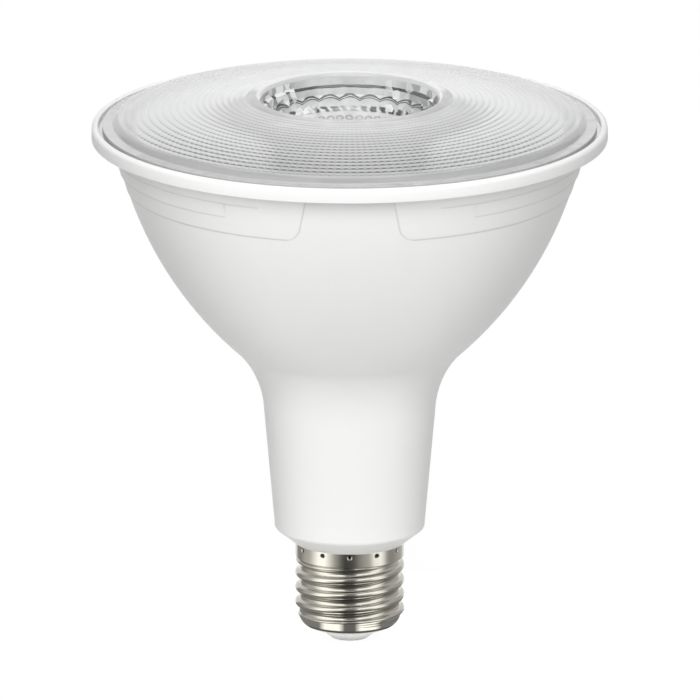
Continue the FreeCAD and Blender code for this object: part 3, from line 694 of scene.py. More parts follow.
class Skin:
    """A mesh under construction, in millimetres. Each point has an edge mark from 0 to 1, the share of
    painted shade that its finish lays there.
    """

    def __init__(self, name: str) -> None:
        """Starts an empty mesh.

        Args:
            name: the name of the mesh and its object.
        """
        self.name = name
        self.points: list[Place] = []
        self.marks: list[float] = []
        self.faces: list[tuple[int, ...]] = []
        self.slots: list[int] = []

    def row(self, places: Sequence[Place], marks: Optional[Sequence[float]] = None) -> list[int]:
        """Adds points and returns their numbers.

        Args:
            places: the points.
            marks: an edge mark for each, the share of painted shade, or nothing where all are 0.

        Returns:
            The numbers.
        """
        first = len(self.points)
        self.points.extend(places)
        self.marks.extend(marks if marks is not None else [0.0] * len(places))
        return list(range(first, len(self.points)))

    def join(self, rows: Sequence[Sequence[int]], slot: int = 0, around: bool = True) -> None:
        """Fills the space between rows of points, which close on themselves if they go around.

        Args:
            rows: the rows, of equal length.
            slot: the material of the faces.
            around: whether each row closes on itself.
        """
        for low, high in zip(rows, rows[1:]):
            count = len(low)
            for index in range(count if around else count - 1):
                following = (index + 1) % count
                self.faces.append((low[index], low[following], high[following], high[index]))
                self.slots.append(slot)

    def cap(self, row: Sequence[int], upward: bool = True) -> None:
        """Closes a ring with a fan of faces from its middle.

        Args:
            row: the ring.
            upward: whether the ring runs the way that turns the faces up.
        """
        middle = Vector((0.0, 0.0, 0.0))
        for index in row:
            middle += Vector(self.points[index])
        middle /= len(row)
        centre = self.row([tuple(middle)])[0]
        for index, here in enumerate(row):
            following = row[(index + 1) % len(row)]
            self.faces.append((here, following, centre) if upward else (following, here, centre))
            self.slots.append(0)

    def turned(
        self,
        outline: Sequence[Pair],
        columns: int,
        slots: Optional[Sequence[int]] = None,
        lift: Optional[Callable[[float, float, float], Pair]] = None,
        shade: Optional[Callable[[float, float], float]] = None,
    ) -> None:
        """Turns an outline about the axis.

        Args:
            outline: radius and height pairs. It closes on itself.
            columns: the number of faces around.
            slots: the material of each stretch of the outline.
            lift: changes a radius and height by their angle.
            shade: edge mark, the share of painted shade, at a radius and height.
        """
        rows = []
        for radius, z in outline:
            places = []
            for angle in turns(columns):
                lifted, height = lift(angle, radius, z) if lift else (radius, z)
                places.append(polar(lifted, angle, height))
            rows.append(self.row(places, [shade(radius, z)] * columns if shade else None))
        rows.append(rows[0])
        for index in range(len(outline)):
            self.join(rows[index:index + 2], slots[index] if slots else 0)

    def finish(self, materials: Sequence[Material], crease_deg: float = 35.0) -> Piece:
        """Turns the skin into an object in metres, with smooth faces and sharp creases.

        Args:
            materials: the finishes, in the order of their slots.
            crease_deg: the angle from which an edge is sharp.

        Returns:
            The object.
        """
        mesh = bpy.data.meshes.new(self.name)
        mesh.from_pydata([tuple(part * MM for part in place) for place in self.points], [], self.faces)
        # The edge attribute carries each point's share of painted shade.
        marks = mesh.attributes.new("edge", "FLOAT", "POINT")
        marks.data.foreach_set("value", self.marks)
        mesh.polygons.foreach_set("material_index", self.slots)
        mesh.polygons.foreach_set("use_smooth", [True] * len(self.faces))
        work = bmesh.new()
        work.from_mesh(mesh)
        bmesh.ops.remove_doubles(work, verts=work.verts, dist=1e-7)
        bmesh.ops.recalc_face_normals(work, faces=work.faces)
        limit = math.radians(crease_deg)
        for edge in work.edges:
            edge.smooth = len(edge.link_faces) == 2 and edge.calc_face_angle(0.0) < limit
        work.to_mesh(mesh)
        work.free()
        for material in materials:
            mesh.materials.append(material)
        return show(self.name, mesh)


def settle(piece: Piece, slot: str, *nodes: str) -> Piece:
    """Rides a piece on the lamp's one body, in place of the CAD nodes it stands for.

    Args:
        piece: the piece.
        slot: the name of its finish. It is not used.
        nodes: the CAD nodes.

    Returns:
        The piece.
    """
    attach(piece, "root")
    if nodes:
        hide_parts(*nodes)
    LOG.info("%s: %d faces", piece.name, len(piece.data.polygons))
    return piece


# The lamp's pieces


@dataclass
class ScrewCap:
    """Nickel-plated shell with its rolled thread, curled edge and staked skirt."""

    pitch: float = 25.4 / 7
    crest: float = 13.15
    root: float = 12.1
    sheet: float = 0.35
    lip_z: float = 3.3
    mouth: float = 7.4
    mouth_round: float = 0.3
    curl_z: float = 5.4
    curl_bulge: float = 1.05
    inner_curl_z: float = 5.05
    run_in: Pair = (5.2, 7.3)
    run_out: Pair = (19.2, 20.8)
    neck_end_z: float = 20.1
    skirt: float = 13.1
    skirt_z: float = 20.61
    shoulder_z: float = 24.21
    crest_at_left_z: float = 16.3
    stakes: int = 12
    stake_drop: float = 0.95
    stake_radius: float = 0.62
    stake_depth: float = 0.3
    columns: int = 300
    curl_rows: int = 14
    thread_rows: int = 170
    skirt_rows: int = 30

    def thread(self, angle: float, z: float) -> float:
        """Radius of the knuckle thread: two arcs to a turn, which fade out at both ends.

        Args:
            angle: the angle about the axis, in radians.
            z: the height.

        Returns:
            The radius.
        """
        turn = angle / math.tau
        phase = (z - self.crest_at_left_z) / self.pitch - turn + 0.5
        away = abs(phase - round(phase)) * self.pitch
        quarter = self.pitch / 4
        half_depth = (self.crest - self.root) / 2
        radius = (quarter**2 + half_depth**2) / (2 * half_depth)
        if away <= quarter:
            height = 2 * half_depth - radius + math.sqrt(radius**2 - away**2)
        else:
            height = radius - math.sqrt(radius**2 - (2 * quarter - away) ** 2)
        return self.root + height * smooth(*self.run_in, z) * (1.0 - smooth(*self.run_out, z))

    def build(self) -> Piece:
        """Builds the shell.

        Returns:
            The shell.
        """
        skin = Skin("screw_cap")
        rows = []
        mouth = (self.mouth + self.mouth_round, self.lip_z)
        for radius, z in arc(mouth, (self.root, self.curl_z), self.curl_bulge, self.curl_rows):
            rows.append(self._ring(skin, z, lambda angle: radius + self.thread(angle, z) - self.root))
        for z in spread(self.curl_z, self.neck_end_z, self.thread_rows)[1:]:
            rows.append(self._ring(skin, z, lambda angle: self.thread(angle, z)))
        flare = arc((self.root, self.neck_end_z), (self.skirt, self.skirt_z), -0.12, 5)
        rows += [self._ring(skin, z, lambda angle: radius) for radius, z in flare[:-1]]
        rows += self._skirt_rows(skin)
        inner = [
            (self.skirt - self.sheet, self.shoulder_z),
            (self.skirt - self.sheet, self.skirt_z + 0.7),
            (self.root - self.sheet, self.skirt_z),
            (self.root - self.sheet, self.inner_curl_z),
            (self.mouth, self.lip_z + self.sheet),
            (self.mouth, self.lip_z),
        ]
        rows += [self._ring(skin, z, lambda angle: radius) for radius, z in inner]
        skin.join(rows + rows[:1])
        return skin.finish([PlatedMetal("nickel_cap", (0.62, 0.6, 0.54), 0.13).make()], 40.0)

    def _ring(self, skin: Skin, z: float, radius_at: Callable[[float], float]) -> list[int]:
        """Adds one ring of the shell."""
        return skin.row([polar(radius_at(angle), angle, z) for angle in turns(self.columns)])

    def _skirt_rows(self, skin: Skin) -> list[list[int]]:
        """Adds the skirt's rings, dented where it is staked, with painted shade in the dents.

        Args:
            skin: the shell's mesh.

        Returns:
            The numbers of each ring's points.
        """
        stake_z = self.shoulder_z - self.stake_drop
        rows = []
        ends = (self.skirt_z, self.shoulder_z)
        for z in [ends[0]] + spread(ends[0] + 0.25, ends[1] - 0.1, self.skirt_rows) + [ends[1]]:
            places, marks = [], []
            for angle in turns(self.columns):
                from_front = angle - math.pi / 2
                nearest = round(from_front / (math.tau / self.stakes)) * math.tau / self.stakes
                across = (from_front - nearest) * self.skirt
                away = math.hypot(across, z - stake_z)
                dent = 1.0 - smooth(self.stake_radius * 0.55, self.stake_radius, away)
                soft = 0.06 if z in ends else 0.0
                places.append(polar(self.skirt - soft - dent * self.stake_depth, angle, z))
                # The dent's depth also lays painted shade in it.
                marks.append(dent)
            rows.append(skin.row(places, marks))
        return rows


class CapBase:
    """White insulator and the contact in the middle of it."""

    def build(self) -> tuple[Piece, Piece]:
        """Builds the insulator and the contact.

        Returns:
            The insulator and the contact.
        """
        skin = Skin("cap_base_insulator")
        outline = [(1.6, 0.8), (3.45, 0.8), (3.45, 0.2), (3.6, 0.12), (4.0, 0.12)]
        outline += arc((4.0, 0.12), (4.75, 0.45), 0.1, 4)
        outline += [(5.6, 1.1), (6.3, 1.65), (6.75, 2.05), (6.9, 2.35), (6.9, 3.3)]
        outline += [(7.35, 3.68), (9.95, 4.6), (9.95, 7.2), (1.6, 7.2)]
        skin.turned(outline, 96)
        insulator = skin.finish([Moulding("insulator_white", (0.95, 0.95, 0.955), 0.3).make()])
        skin = Skin("contact_button")
        outline = [(0.001, 0.0), (2.4, 0.0)]
        outline += arc((2.4, 0.0), (3.4, 0.4), 0.1, 8)
        outline += [(3.4, 0.8), (1.6, 0.8), (1.6, 7.6), (0.001, 7.6)]
        skin.turned(outline, 96)
        contact = skin.finish([PlatedMetal("contact_tin", (0.62, 0.61, 0.58), 0.3).make()])
        return insulator, contact


@dataclass
class Housing:
    """White moulding with the neck, the bowl, the side panels and the rim."""

    wall: float = 2.2
    shoulder_z: float = 24.214
    base_z: float = 27.914
    base_radius: float = 18.0
    neck_top: Pair = (20.697, 58.014)
    crease: Pair = (27.097, 72.014)
    crease_bulge: float = 1.32
    bowl_top: Pair = (56.4, 124.364)
    bowl_bulge: float = 5.0
    rim: float = 62.0
    rim_inner: float = 60.4
    rim_z: float = 127.814
    seat_z: float = 125.914
    panel_z: float = 112.414
    proud: float = 0.2
    gap_half: float = 10.2
    lean_deg: float = 10.0
    corner: float = 3.2
    terraces: tuple[tuple[float, float, float], ...] = ((4.2, 0.81, 0.44), (7.8, 1.21, 0.47))
    painted_shade_depth: float = 6.0
    painted_shade_top: float = 0.7
    bowl_mouth: float = 54.2
    bowl_floor: Pair = (25.1, 72.93)
    neck_bore: Pair = (18.5, 15.8)
    neck_floor_z: float = 28.814
    spigot_bore: float = 10.15
    spigot: float = 11.65
    spigot_base_z: float = 10.214
    collar: float = 12.65
    collar_slope: Pair = (20.6, 21.3)
    root_depth: float = 0.5
    columns: int = 288

    def bowl_radius(self, z: float) -> float:
        """Radius of the bowl's outer face at a height.

        Args:
            z: the height.

        Returns:
            The radius.
        """
        (r0, z0), (r1, z1) = self.crease, self.bowl_top
        chord = math.hypot(r1 - r0, z1 - z0)
        radius = (chord**2 / 4 + self.bowl_bulge**2) / (2 * self.bowl_bulge)
        offset = self.bowl_bulge - radius
        along = ((r1 - r0) / chord, (z1 - z0) / chord)
        centre_r = (r0 + r1) / 2 + along[1] * offset
        centre_z = (z0 + z1) / 2 - along[0] * offset
        return centre_r + math.sqrt(radius**2 - (z - centre_z) ** 2)

    def outer(self) -> list[Pair]:
        """Outline from the shoulder up to the rim's inner edge.

        Returns:
            Radius and height pairs.
        """
        slope = (self.neck_top[0] - self.base_radius) / (self.neck_top[1] - self.base_z)
        points = [(13.3, self.shoulder_z), (13.45, self.shoulder_z + 0.05)]
        corner_low = (self.base_radius - 0.75, self.base_z - 0.55)
        corner_high = (self.base_radius + slope * 0.8, self.base_z + 0.8)
        points += [corner_low] + arc(corner_low, corner_high, 0.28, 6)
        points += [(self.base_radius + slope * rise, self.base_z + rise) for rise in spread(3.0, 29.0, 8)]
        points += [self.neck_top] + arc(self.neck_top, self.crease, -self.crease_bulge, 20)
        points += arc(self.crease, self.bowl_top, self.bowl_bulge, 56)
        under_z = self.bowl_top[1]
        points += [(self.bowl_top[0] + 0.4, under_z - 0.05), (self.rim - 0.15, under_z)]
        points += arc((self.rim - 0.15, under_z), (self.rim, under_z + 0.15), 0.044, 3)
        points += [(self.rim, self.rim_z - 1.1)]
        points += arc((self.rim, self.rim_z - 1.1), (self.rim - 1.0, self.rim_z), 0.29, 8)
        points += arc((self.rim - 1.0, self.rim_z), (self.rim_inner, self.rim_z - 0.35), 0.08, 4)
        return points

    def inner(self) -> list[Pair]:
        """Outline from the lens's seat down the inside to the spigot's foot and up its outside.

        Returns:
            Radius and height pairs.
        """
        bowl = (self.bowl_mouth, self.bowl_top[1])
        return [
            (self.rim_inner, self.seat_z),
            (self.bowl_mouth, self.seat_z),
            bowl,
            *arc(bowl, self.bowl_floor, -self.bowl_bulge, 24),
            (self.neck_bore[0], self.neck_top[1]),
            (self.neck_bore[1], self.neck_floor_z),
            (self.spigot_bore, self.neck_floor_z),
            (self.spigot_bore, self.spigot_base_z),
            (self.spigot, self.spigot_base_z),
            (self.spigot, self.collar_slope[0]),
            (self.collar, self.collar_slope[1]),
            (self.collar, self.shoulder_z),
        ]

    def build(self) -> Piece:
        """Builds the housing with its panels.

        Returns:
            The housing.
        """
        skin = Skin("housing_shell")
        skin.turned(self.outer() + self.inner(), self.columns, shade=self._painted_shade)
        for side in (0.0, math.pi):
            self._panel(skin, side)
            for height, shift, drop in self.terraces:
                self._terrace(skin, side, height, shift, drop)
        return skin.finish([HousingWhite().make()], 30.0)

    def _painted_shade(self, radius: float, z: float) -> float:
        """Soft painted shade that gathers in the corner under the rim.

        Args:
            radius: the point's radius.
            z: the point's height.

        Returns:
            The point's edge mark, its share of painted shade.
        """
        below = self.bowl_top[1] - z
        if radius > self.bowl_top[0] + 2.0 or not -0.1 < below < self.painted_shade_depth:
            return 0.0
        return self.painted_shade_top * (1.0 - below / self.painted_shade_depth) ** 2

    def _ends(self, z: float) -> tuple[float, float]:
        """Angles at which a panel starts and ends at a height, on the side towards +X.

        Args:
            z: the height.

        Returns:
            The two angles, in radians.
        """
        lean = math.tan(math.radians(self.lean_deg))
        edge = self.gap_half + (self.bowl_top[1] - z) * lean
        rise = z - self.panel_z
        if rise < self.corner:
            edge += self.corner - math.sqrt(max(0.0, self.corner**2 - (self.corner - rise) ** 2))
        start = math.asin(min(1.0, edge / self.bowl_radius(z)))
        return start, math.pi - start

    def _heights(self, low_z: float) -> list[float]:
        """Heights of a raised patch's rows, close together at its lower edge.

        Args:
            low_z: the height of the lower edge.

        Returns:
            The heights.
        """
        near = [0.0, 0.1, 0.3, 0.55, 0.9, 1.4, 2.1, 3.0, 4.0]
        high_z = self.bowl_top[1] + 0.05
        return [low_z + rise for rise in near] + spread(low_z + 4.0, high_z, 8)[1:]

    def _patch(
        self,
        skin: Skin,
        side: float,
        heights: Sequence[float],
        ends_at: Callable[[float], tuple[float, float]],
        lift_at: Callable[[float], float],
    ) -> None:
        """Adds one raised patch as a closed shell that is rooted in the wall, with painted shade along
        its edges.

        Args:
            skin: the housing's mesh.
            side: turn of the patch about the axis, in radians.
            heights: heights of its rows.
            ends_at: angles from the front at which a row starts and ends.
            lift_at: how far the patch stands out at an angle.
        """
        inset = [0.0, 0.1, 0.3, 0.55, 1.0]
        outer_rows, inner_rows = [], []
        for z in heights:
            start, end = ends_at(z)
            radius = self.bowl_radius(min(z, self.bowl_top[1]))
            near = [start + step / radius for step in inset]
            far = [end - step / radius for step in reversed(inset)]
            angles = near + spread(near[-1], far[0], 120)[1:-1] + far
            places, marks, roots = [], [], []
            rise = z - heights[0]
            for angle in angles:
                edge = min((angle - start) * radius, (end - angle) * radius, rise)
                lift = lift_at(angle)
                stand = lift * (0.55 + 0.45 * smooth(0.0, 0.12, edge))
                turn = side + angle - math.pi / 2
                places.append(polar(radius + stand, turn, z))
                roots.append(polar(radius - self.root_depth, turn, z))
                # Painted shade: the mark darkens a soft line along the patch's edges where it stands
                # proud.
                marks.append((1.0 - smooth(0.1, 0.5, edge)) * smooth(0.0, 0.15, lift))
            outer_rows.append(skin.row(places, marks))
            inner_rows.append(skin.row(roots))
        skin.join(outer_rows, around=False)
        skin.join(inner_rows[::-1], around=False)
        skin.join([inner_rows[0], outer_rows[0]], around=False)
        skin.join([outer_rows[-1], inner_rows[-1]], around=False)
        for column in (0, -1):
            sides = [[row[column] for row in rows] for rows in (inner_rows, outer_rows)]
            skin.join(sides, around=False)

    def _panel(self, skin: Skin, side: float) -> None:
        """Adds one side's panel."""
        self._patch(skin, side, self._heights(self.panel_z), self._ends, lambda angle: self.proud)

    def _terrace(self, skin: Skin, side: float, height: float, shift: float, drop: float) -> None:
        """Adds one terrace, which sinks into the panel towards the front and the back.

        Args:
            skin: the housing's mesh.
            side: turn of the terrace about the axis, in radians.
            height: how far it starts above the panel's lower edge.
            shift: how far it is moved sideways.
            drop: how much lower it lies, so that it sinks towards the front.
        """
        fade = math.asin(drop / shift) - math.radians(1.5)
        self._patch(
            skin,
            side,
            self._heights(self.panel_z + height),
            lambda z: (fade, math.pi - fade),
            lambda angle: self.proud + shift * math.sin(angle) - drop,
        )


@dataclass
class Lens:
    """Clear lens: flange, step, dome of pillows, lip, and the stepped well."""

    seat_z: float = 125.914
    radius: float = 59.4
    edge_z: float = 127.814
    step_radius: float = 56.9
    dome_radius: float = 55.7
    dome_z: float = 129.564
    lip_foot: Pair = (24.6, 134.364)
    dome_bulge: float = 0.48
    lip_top: Pair = (22.95, 134.714)
    well_top: Pair = (21.3, 133.814)
    well_floor: Pair = (15.6, 111.214)
    ledges: tuple[float, ...] = (1.7, 3.8, 6.8)
    ledge_width: float = 0.75
    ledge_drop: float = 0.3
    plate: float = 2.4
    wall: float = 2.2
    scallops: int = 16
    scallop_depth: float = 0.45
    scallop_foot: Pair = (113.0, 118.0)
    scallop_radii: Pair = (17.0, 20.5)
    pillow_fade: tuple[Pair, Pair] = ((24.6, 26.5), (55.4, 55.7))
    seat_inner: float = 54.6
    columns: int = 540
    grid: PillowGrid = field(default_factory=PillowGrid)

    def dome(self) -> list[Pair]:
        """Outline of the dome with its pillows' rings, from the step in to the lip.

        Returns:
            Radius and height pairs.
        """
        start = (self.dome_radius, self.dome_z)
        smooth_arc = [start] + arc(start, self.lip_foot, self.dome_bulge, 60)
        outer_ring = math.floor(self.grid.ring(self.dome_radius))
        inner_ring = math.floor(self.grid.ring(self.lip_foot[0]))
        shares = (0.92, 0.6, 0.28, 0.0)
        rings = [ring + share for ring in range(outer_ring, inner_ring - 1, -1) for share in shares]
        points = []
        for radius in map(self.grid.radius, rings):
            for (r0, z0), (r1, z1) in zip(smooth_arc, smooth_arc[1:]):
                if r1 <= radius <= r0:
                    points.append((radius, z0 + (z1 - z0) * (r0 - radius) / (r0 - r1)))
                    break
        return points

    def well(self) -> list[Pair]:
        """Outline of the well from its mouth to its floor, with softened ledges.

        Returns:
            Radius and height pairs.
        """
        floor_radius, floor_z = self.well_floor
        run = self.well_top[0] - floor_radius - self.ledge_width * len(self.ledges)
        taper = run / (self.well_top[1] - floor_z - self.ledge_drop * len(self.ledges))
        here = self.well_top
        points = [here]
        for depth in self.ledges:
            down = here[1] - (self.well_top[1] - depth)
            edge = (here[0] - down * taper, here[1] - down)
            inner = (edge[0] - self.ledge_width, edge[1] - self.ledge_drop)
            points += [(edge[0] + 0.01, edge[1] + 0.15), (edge[0] - 0.1, edge[1])]
            points += [(inner[0] + 0.12, inner[1] + 0.05), (inner[0], inner[1] - 0.15)]
            here = inner
        inwards, down = floor_radius + 0.5 - here[0], floor_z - here[1]
        for share in (0.25, 0.5, 0.75, 0.95):
            points.append((here[0] + inwards * share, here[1] + down * share))
        return points + arc(points[-1], (floor_radius - 1.0, floor_z), -0.3, 5)

    def build(self) -> Piece:
        """Builds the lens as one closed shell.

        Returns:
            The lens.
        """
        skin = Skin("lens_body")
        pillows, clear, step, well, edge = range(5)
        step_foot, step_top = self.step_radius + 0.3, (self.step_radius - 0.1, self.edge_z + 0.3)
        floor_radius, floor_z = self.well_floor
        under_z = floor_z - self.plate
        outer_edge = [(self.radius, self.seat_z), (self.radius, self.edge_z - 0.12)]
        stretches = [
            (edge, [(self.seat_inner, self.seat_z)] + outer_edge),
            (step, [(self.radius - 0.12, self.edge_z), (self.radius - 0.6, self.edge_z)]),
            (step, [(step_foot, self.edge_z)] + arc((step_foot, self.edge_z), step_top, -0.08, 3)),
            (step, arc(step_top, (self.dome_radius, self.dome_z), 0.25, 5)),
            (pillows, self.dome()),
            (step, [self.lip_foot] + arc(self.lip_foot, self.lip_top, 0.12, 6)),
            (step, arc(self.lip_top, self.well_top, 0.35, 6)),
            (well, self.well()[1:]),
            (clear, [(5.0, floor_z), (0.01, floor_z)]),
            (clear, [(0.01, under_z), (floor_radius + self.wall * 0.6, under_z)]),
            (clear, [(floor_radius + self.wall, floor_z), (18.6, 117.0), (19.4, 121.0), (20.2, 125.0)]),
            (clear, [(self.well_top[0] + self.wall * 0.6, self.well_top[1] - self.plate - self.wall)]),
            (clear, [(26.8, self.lip_foot[1] - 2.75), (40.0, 130.6)]),
            (clear, [(self.seat_inner, self.dome_z - self.plate)]),
        ]
        outline = [place for _, points in stretches for place in points]
        slots = [slot for slot, points in stretches for _ in points]
        LOG.info("lens: %d rows, %d of them pillows", len(outline), slots.count(pillows))
        skin.turned(outline, self.columns, slots[1:] + [edge], self._lift)
        return skin.finish([LensClear(part).make() for part in LensPart], 50.0)

    def _lift(self, angle: float, radius: float, z: float) -> Pair:
        """Raises the dome's pillows and cuts the scallops of the well's outer wall.

        Args:
            angle: the angle about the axis, in radians.
            radius: the outline's radius.
            z: the outline's height.

        Returns:
            The radius and height at that angle.
        """
        inner, outer = self.pillow_fade
        if inner[0] < radius < self.dome_radius + 0.01 and z > self.dome_z - 0.01:
            ring = (self.grid.ring(radius) + 1e-6) % 1.0
            spoke = (angle / math.tau * self.grid.spokes) % 1.0
            crown = self.grid.sag * 4 * spoke * (1 - spoke)
            rise = crown + self.grid.drop * min(1.0, (1 - ring) * 12) * ring
            return radius, z + rise * smooth(*inner, radius) * (1 - smooth(*outer, radius))
        low, high = self.scallop_radii
        if low < radius < high and self.scallop_foot[0] < z < self.well_top[1] - self.ledges[1] + 2.5:
            wave = abs(math.sin(angle * self.scallops / 2))
            return radius - self.scallop_depth * wave * smooth(*self.scallop_foot, z), z
        return radius, z


class GeometryTree:
    """A Geometry Nodes tree with named inputs, used once and then baked to a plain mesh."""

    def __init__(self, name: str) -> None:
        """Starts a tree that has one geometry output.

        Args:
            name: the tree's name.
        """
        self.tree = bpy.data.node_groups.new(name, "GeometryNodeTree")
        self.tree.interface.new_socket("Geometry", in_out="OUTPUT", socket_type="NodeSocketGeometry")
        self.maker = NodeMaker(self.tree)
        self.given: dict[str, object] = {}
        self.entry = self.tree.nodes.new("NodeGroupInput")

    def size(self, name: str, value: float, whole: bool = False) -> Value:
        """Adds a named input and remembers its value.

        Args:
            name: the input's name.
            value: its number.
            whole: whether it is a whole number.

        Returns:
            The input as a value.
        """
        kind = "NodeSocketInt" if whole else "NodeSocketFloat"
        self.tree.interface.new_socket(name, in_out="INPUT", socket_type=kind)
        self.given[name] = int(value) if whole else float(value)
        return Value(self.maker, self.entry.outputs[name])

    def ring_of(self, piece: Piece, count: int, radius: float, material: Material) -> None:
        """Sets copies of a piece in a ring about the axis, each turned to face outwards.

        Args:
            piece: the piece to repeat.
            count: the number of copies.
            radius: the ring's radius, in metres.
            material: the finish of every copy.
        """
        how_many = self.size("Count", count, whole=True)
        reach = self.size("Ring radius", radius)
        maker = self.maker
        circle = maker.node("GeometryNodeMeshCircle", None, {"Vertices": how_many, "Radius": reach})
        place = maker.node("GeometryNodeInputPosition").outputs[0]
        parts = maker.node("ShaderNodeSeparateXYZ", None, {0: place})
        turn = maker.math("ARCTAN2", maker.value(parts, 1), maker.value(parts, 0))
        facing = maker.node("ShaderNodeCombineXYZ", None, {2: turn}).outputs[0]
        source = maker.node("GeometryNodeObjectInfo", None, {"Object": piece}).outputs["Geometry"]
        inputs = {"Points": circle.outputs[0], "Instance": source, "Rotation": facing}
        copies = maker.node("GeometryNodeInstanceOnPoints", None, inputs)
        real = maker.node("GeometryNodeRealizeInstances", None, {0: copies.outputs[0]})
        inputs = {"Geometry": real.outputs[0], "Material": material}
        dressed = maker.node("GeometryNodeSetMaterial", None, inputs)
        maker.node("NodeGroupOutput", None, {0: dressed.outputs[0]})

    def bake(self, name: str) -> Piece:
        """Runs the tree on an empty mesh and returns the result as a plain object.

        Args:
            name: the object's name.

        Returns:
            The object.
        """
        holder = show(name + "_tree", bpy.data.meshes.new(name + "_tree"))
        modifier = holder.modifiers.new(name, "NODES")
        modifier.node_group = self.tree
        for item in self.tree.interface.items_tree:
            if item.in_out == "INPUT" and item.name in self.given:
                modifier[item.identifier] = self.given[item.name]
        graph = bpy.context.evaluated_depsgraph_get()
        mesh = bpy.data.meshes.new_from_object(holder.evaluated_get(graph))
        mesh.name = name
        bpy.data.objects.remove(holder)
        return show(name, mesh)


@dataclass
class LightEngine:
    """Light sources and screws set in rings on the board."""

    board_z: float = 105.064
    chips: int = 16
    chip_ring: float = 13.0
    chip_size: float = 3.0
    chip_height: float = 0.75
    screws: int = 3
    screw_ring: float = 17.6
    screw_head: float = 2.4
    screw_height: float = 1.5
    screw_shank: float = 1.2
    screw_length: float = 3.6
    screw_sides: int = 24

    def build(self) -> tuple[Piece, Piece]:
        """Builds the rings of chips and screws.

        Returns:
            The chips and the screws.
        """
        phosphor = Moulding("chip_phosphor", (0.86, 0.68, 0.16), 0.35)
        steel = PlatedMetal("screw_steel", (0.6, 0.6, 0.6), 0.3)
        chips = self._ring("light_source_ring", self._chip(), self.chips, self.chip_ring, phosphor)
        screws = self._ring("screw_ring", self._screw(), self.screws, self.screw_ring, steel)
        return chips, screws

    def _ring(self, name: str, piece: Piece, count: int, radius: float, finish: Finish) -> Piece:
        """Sets copies of one piece round the axis on the board, the first at the front.

        Args:
            name: the ring's name.
            piece: the piece to repeat. It is removed afterwards.
            count: the number of copies.
            radius: the ring's radius, in millimetres.
            finish: the finish of every copy.

        Returns:
            The ring as one object.
        """
        tree = GeometryTree(name)
        tree.ring_of(piece, count, radius * MM, finish.make())
        made = tree.bake(name)
        bpy.data.objects.remove(piece)
        made.data.transform(Matrix.Rotation(-math.pi / 2, 4, "Z"))
        return made

    def _chip(self) -> Piece:
        """One light source: a square body with a shallow domed window.

        Returns:
            The chip, on the axis.
        """
        skin = Skin("chip")
        half = self.chip_size / 2
        outline = [(half, 0.0), (half, 0.5), (half - 0.25, 0.55), (half - 0.35, 0.5)]
        outline += [(half * 0.5, 0.68), (half * 0.2, self.chip_height)]
        corners = ((-1, -1), (1, -1), (1, 1), (-1, 1))
        rows = []
        for reach, z in outline:
            rows.append(skin.row([(x * reach, y * reach, self.board_z + z) for x, y in corners]))
        skin.join(rows)
        skin.cap(rows[-1])
        skin.cap(rows[0], upward=False)
        return skin.finish([], 30.0)

    def _screw(self) -> Piece:
        """One pan-head screw with a cross recess.

        Returns:
            The screw, on the axis.
        """
        skin = Skin("screw")
        head, shank, base = self.screw_head, self.screw_shank, self.board_z
        top = base + self.screw_height
        angles = turns(self.screw_sides)
        cross = [0.45 + 0.55 * abs(math.cos(2 * angle)) ** 0.5 for angle in angles]
        rows = []
        for radius, z in ((0.9, top - 0.7), (1.0, top)):
            rows.append(skin.row([polar(radius * arm, angle, z) for angle, arm in zip(angles, cross)]))
        outline = [(head * 0.7, top), (head * 0.92, top - 0.35), (head, top - 0.9), (head, base)]
        outline += [(shank, base), (shank, base - self.screw_length)]
        for radius, z in outline:
            rows.append(skin.row([polar(radius, angle, z) for angle in angles]))
        skin.join(rows)
        skin.cap(rows[0])
        skin.cap(rows[-1], upward=False)
        return skin.finish([], 30.0)


class Inside:
    """Finishes of the CAD nodes that stay as they are."""

    def finishes(self) -> dict[str, Finish]:
        """The finish of each node.

        Returns:
            A finish by the name of each node.
        """
        can = Moulding("can_black", (0.03, 0.035, 0.05), 0.25)
        package = Moulding("package_black", (0.02, 0.02, 0.023), 0.5)
        ferrite = Moulding("ferrite", (0.045, 0.045, 0.05), 0.6, 0.00005)
        return {
            "heat_dish": PlatedMetal("dish_aluminium", (0.8, 0.8, 0.8), 0.4),
            "light_board": SolderMask("board_white", (0.86, 0.86, 0.85), (0.8, 0.8, 0.79)),
            "reflector": Moulding("reflector_white", (0.84, 0.845, 0.845), 0.25),
            "driver_sleeve": Moulding("sleeve_film", (0.75, 0.74, 0.68), 0.35),
            "driver_board": SolderMask("driver_green", (0.02, 0.13, 0.05), (0.04, 0.22, 0.09)),
            "transformer_core": ferrite,
            "transformer_winding": Moulding("winding_tape", (0.72, 0.5, 0.05), 0.3),
            "input_capacitor": can,
            "output_capacitor": can,
            "film_capacitor": Moulding("film_box", (0.5, 0.05, 0.03), 0.3),
            "filter_choke": ferrite,
            "bridge_rectifier": package,
            "driver_chip": package,
            "fuse_resistor": Moulding("fuse_body", (0.13, 0.22, 0.17), 0.45),
            "surge_disc": Moulding("surge_blue", (0.03, 0.08, 0.32), 0.3),
            "board_pins": PlatedMetal("pin_tin", (0.7, 0.69, 0.65), 0.3),
            "live_lead": Moulding("lead_red", (0.45, 0.02, 0.015), 0.45),
            "neutral_lead": Moulding("lead_black", (0.02, 0.02, 0.02), 0.45),
        }

    def dress(self, nodes: Mapping[str, Piece]) -> None:
        """Gives each node its finish.

        Args:
            nodes: the CAD nodes by their names.
        """
        for name, finish in self.finishes().items():
            nodes[name].data.materials.clear()
            nodes[name].data.materials.append(finish.make())
            LOG.info("%s: %s", name, finish.name)


# The studio


@dataclass(frozen=True)
class Softbox:
    """One soft square lamp. Its distance and size are in metres, its power in watts."""

    name: str
    azimuth_deg: float
    elevation_deg: float
    distance: float
    size: float
    power: float
    in_gloss: bool = True


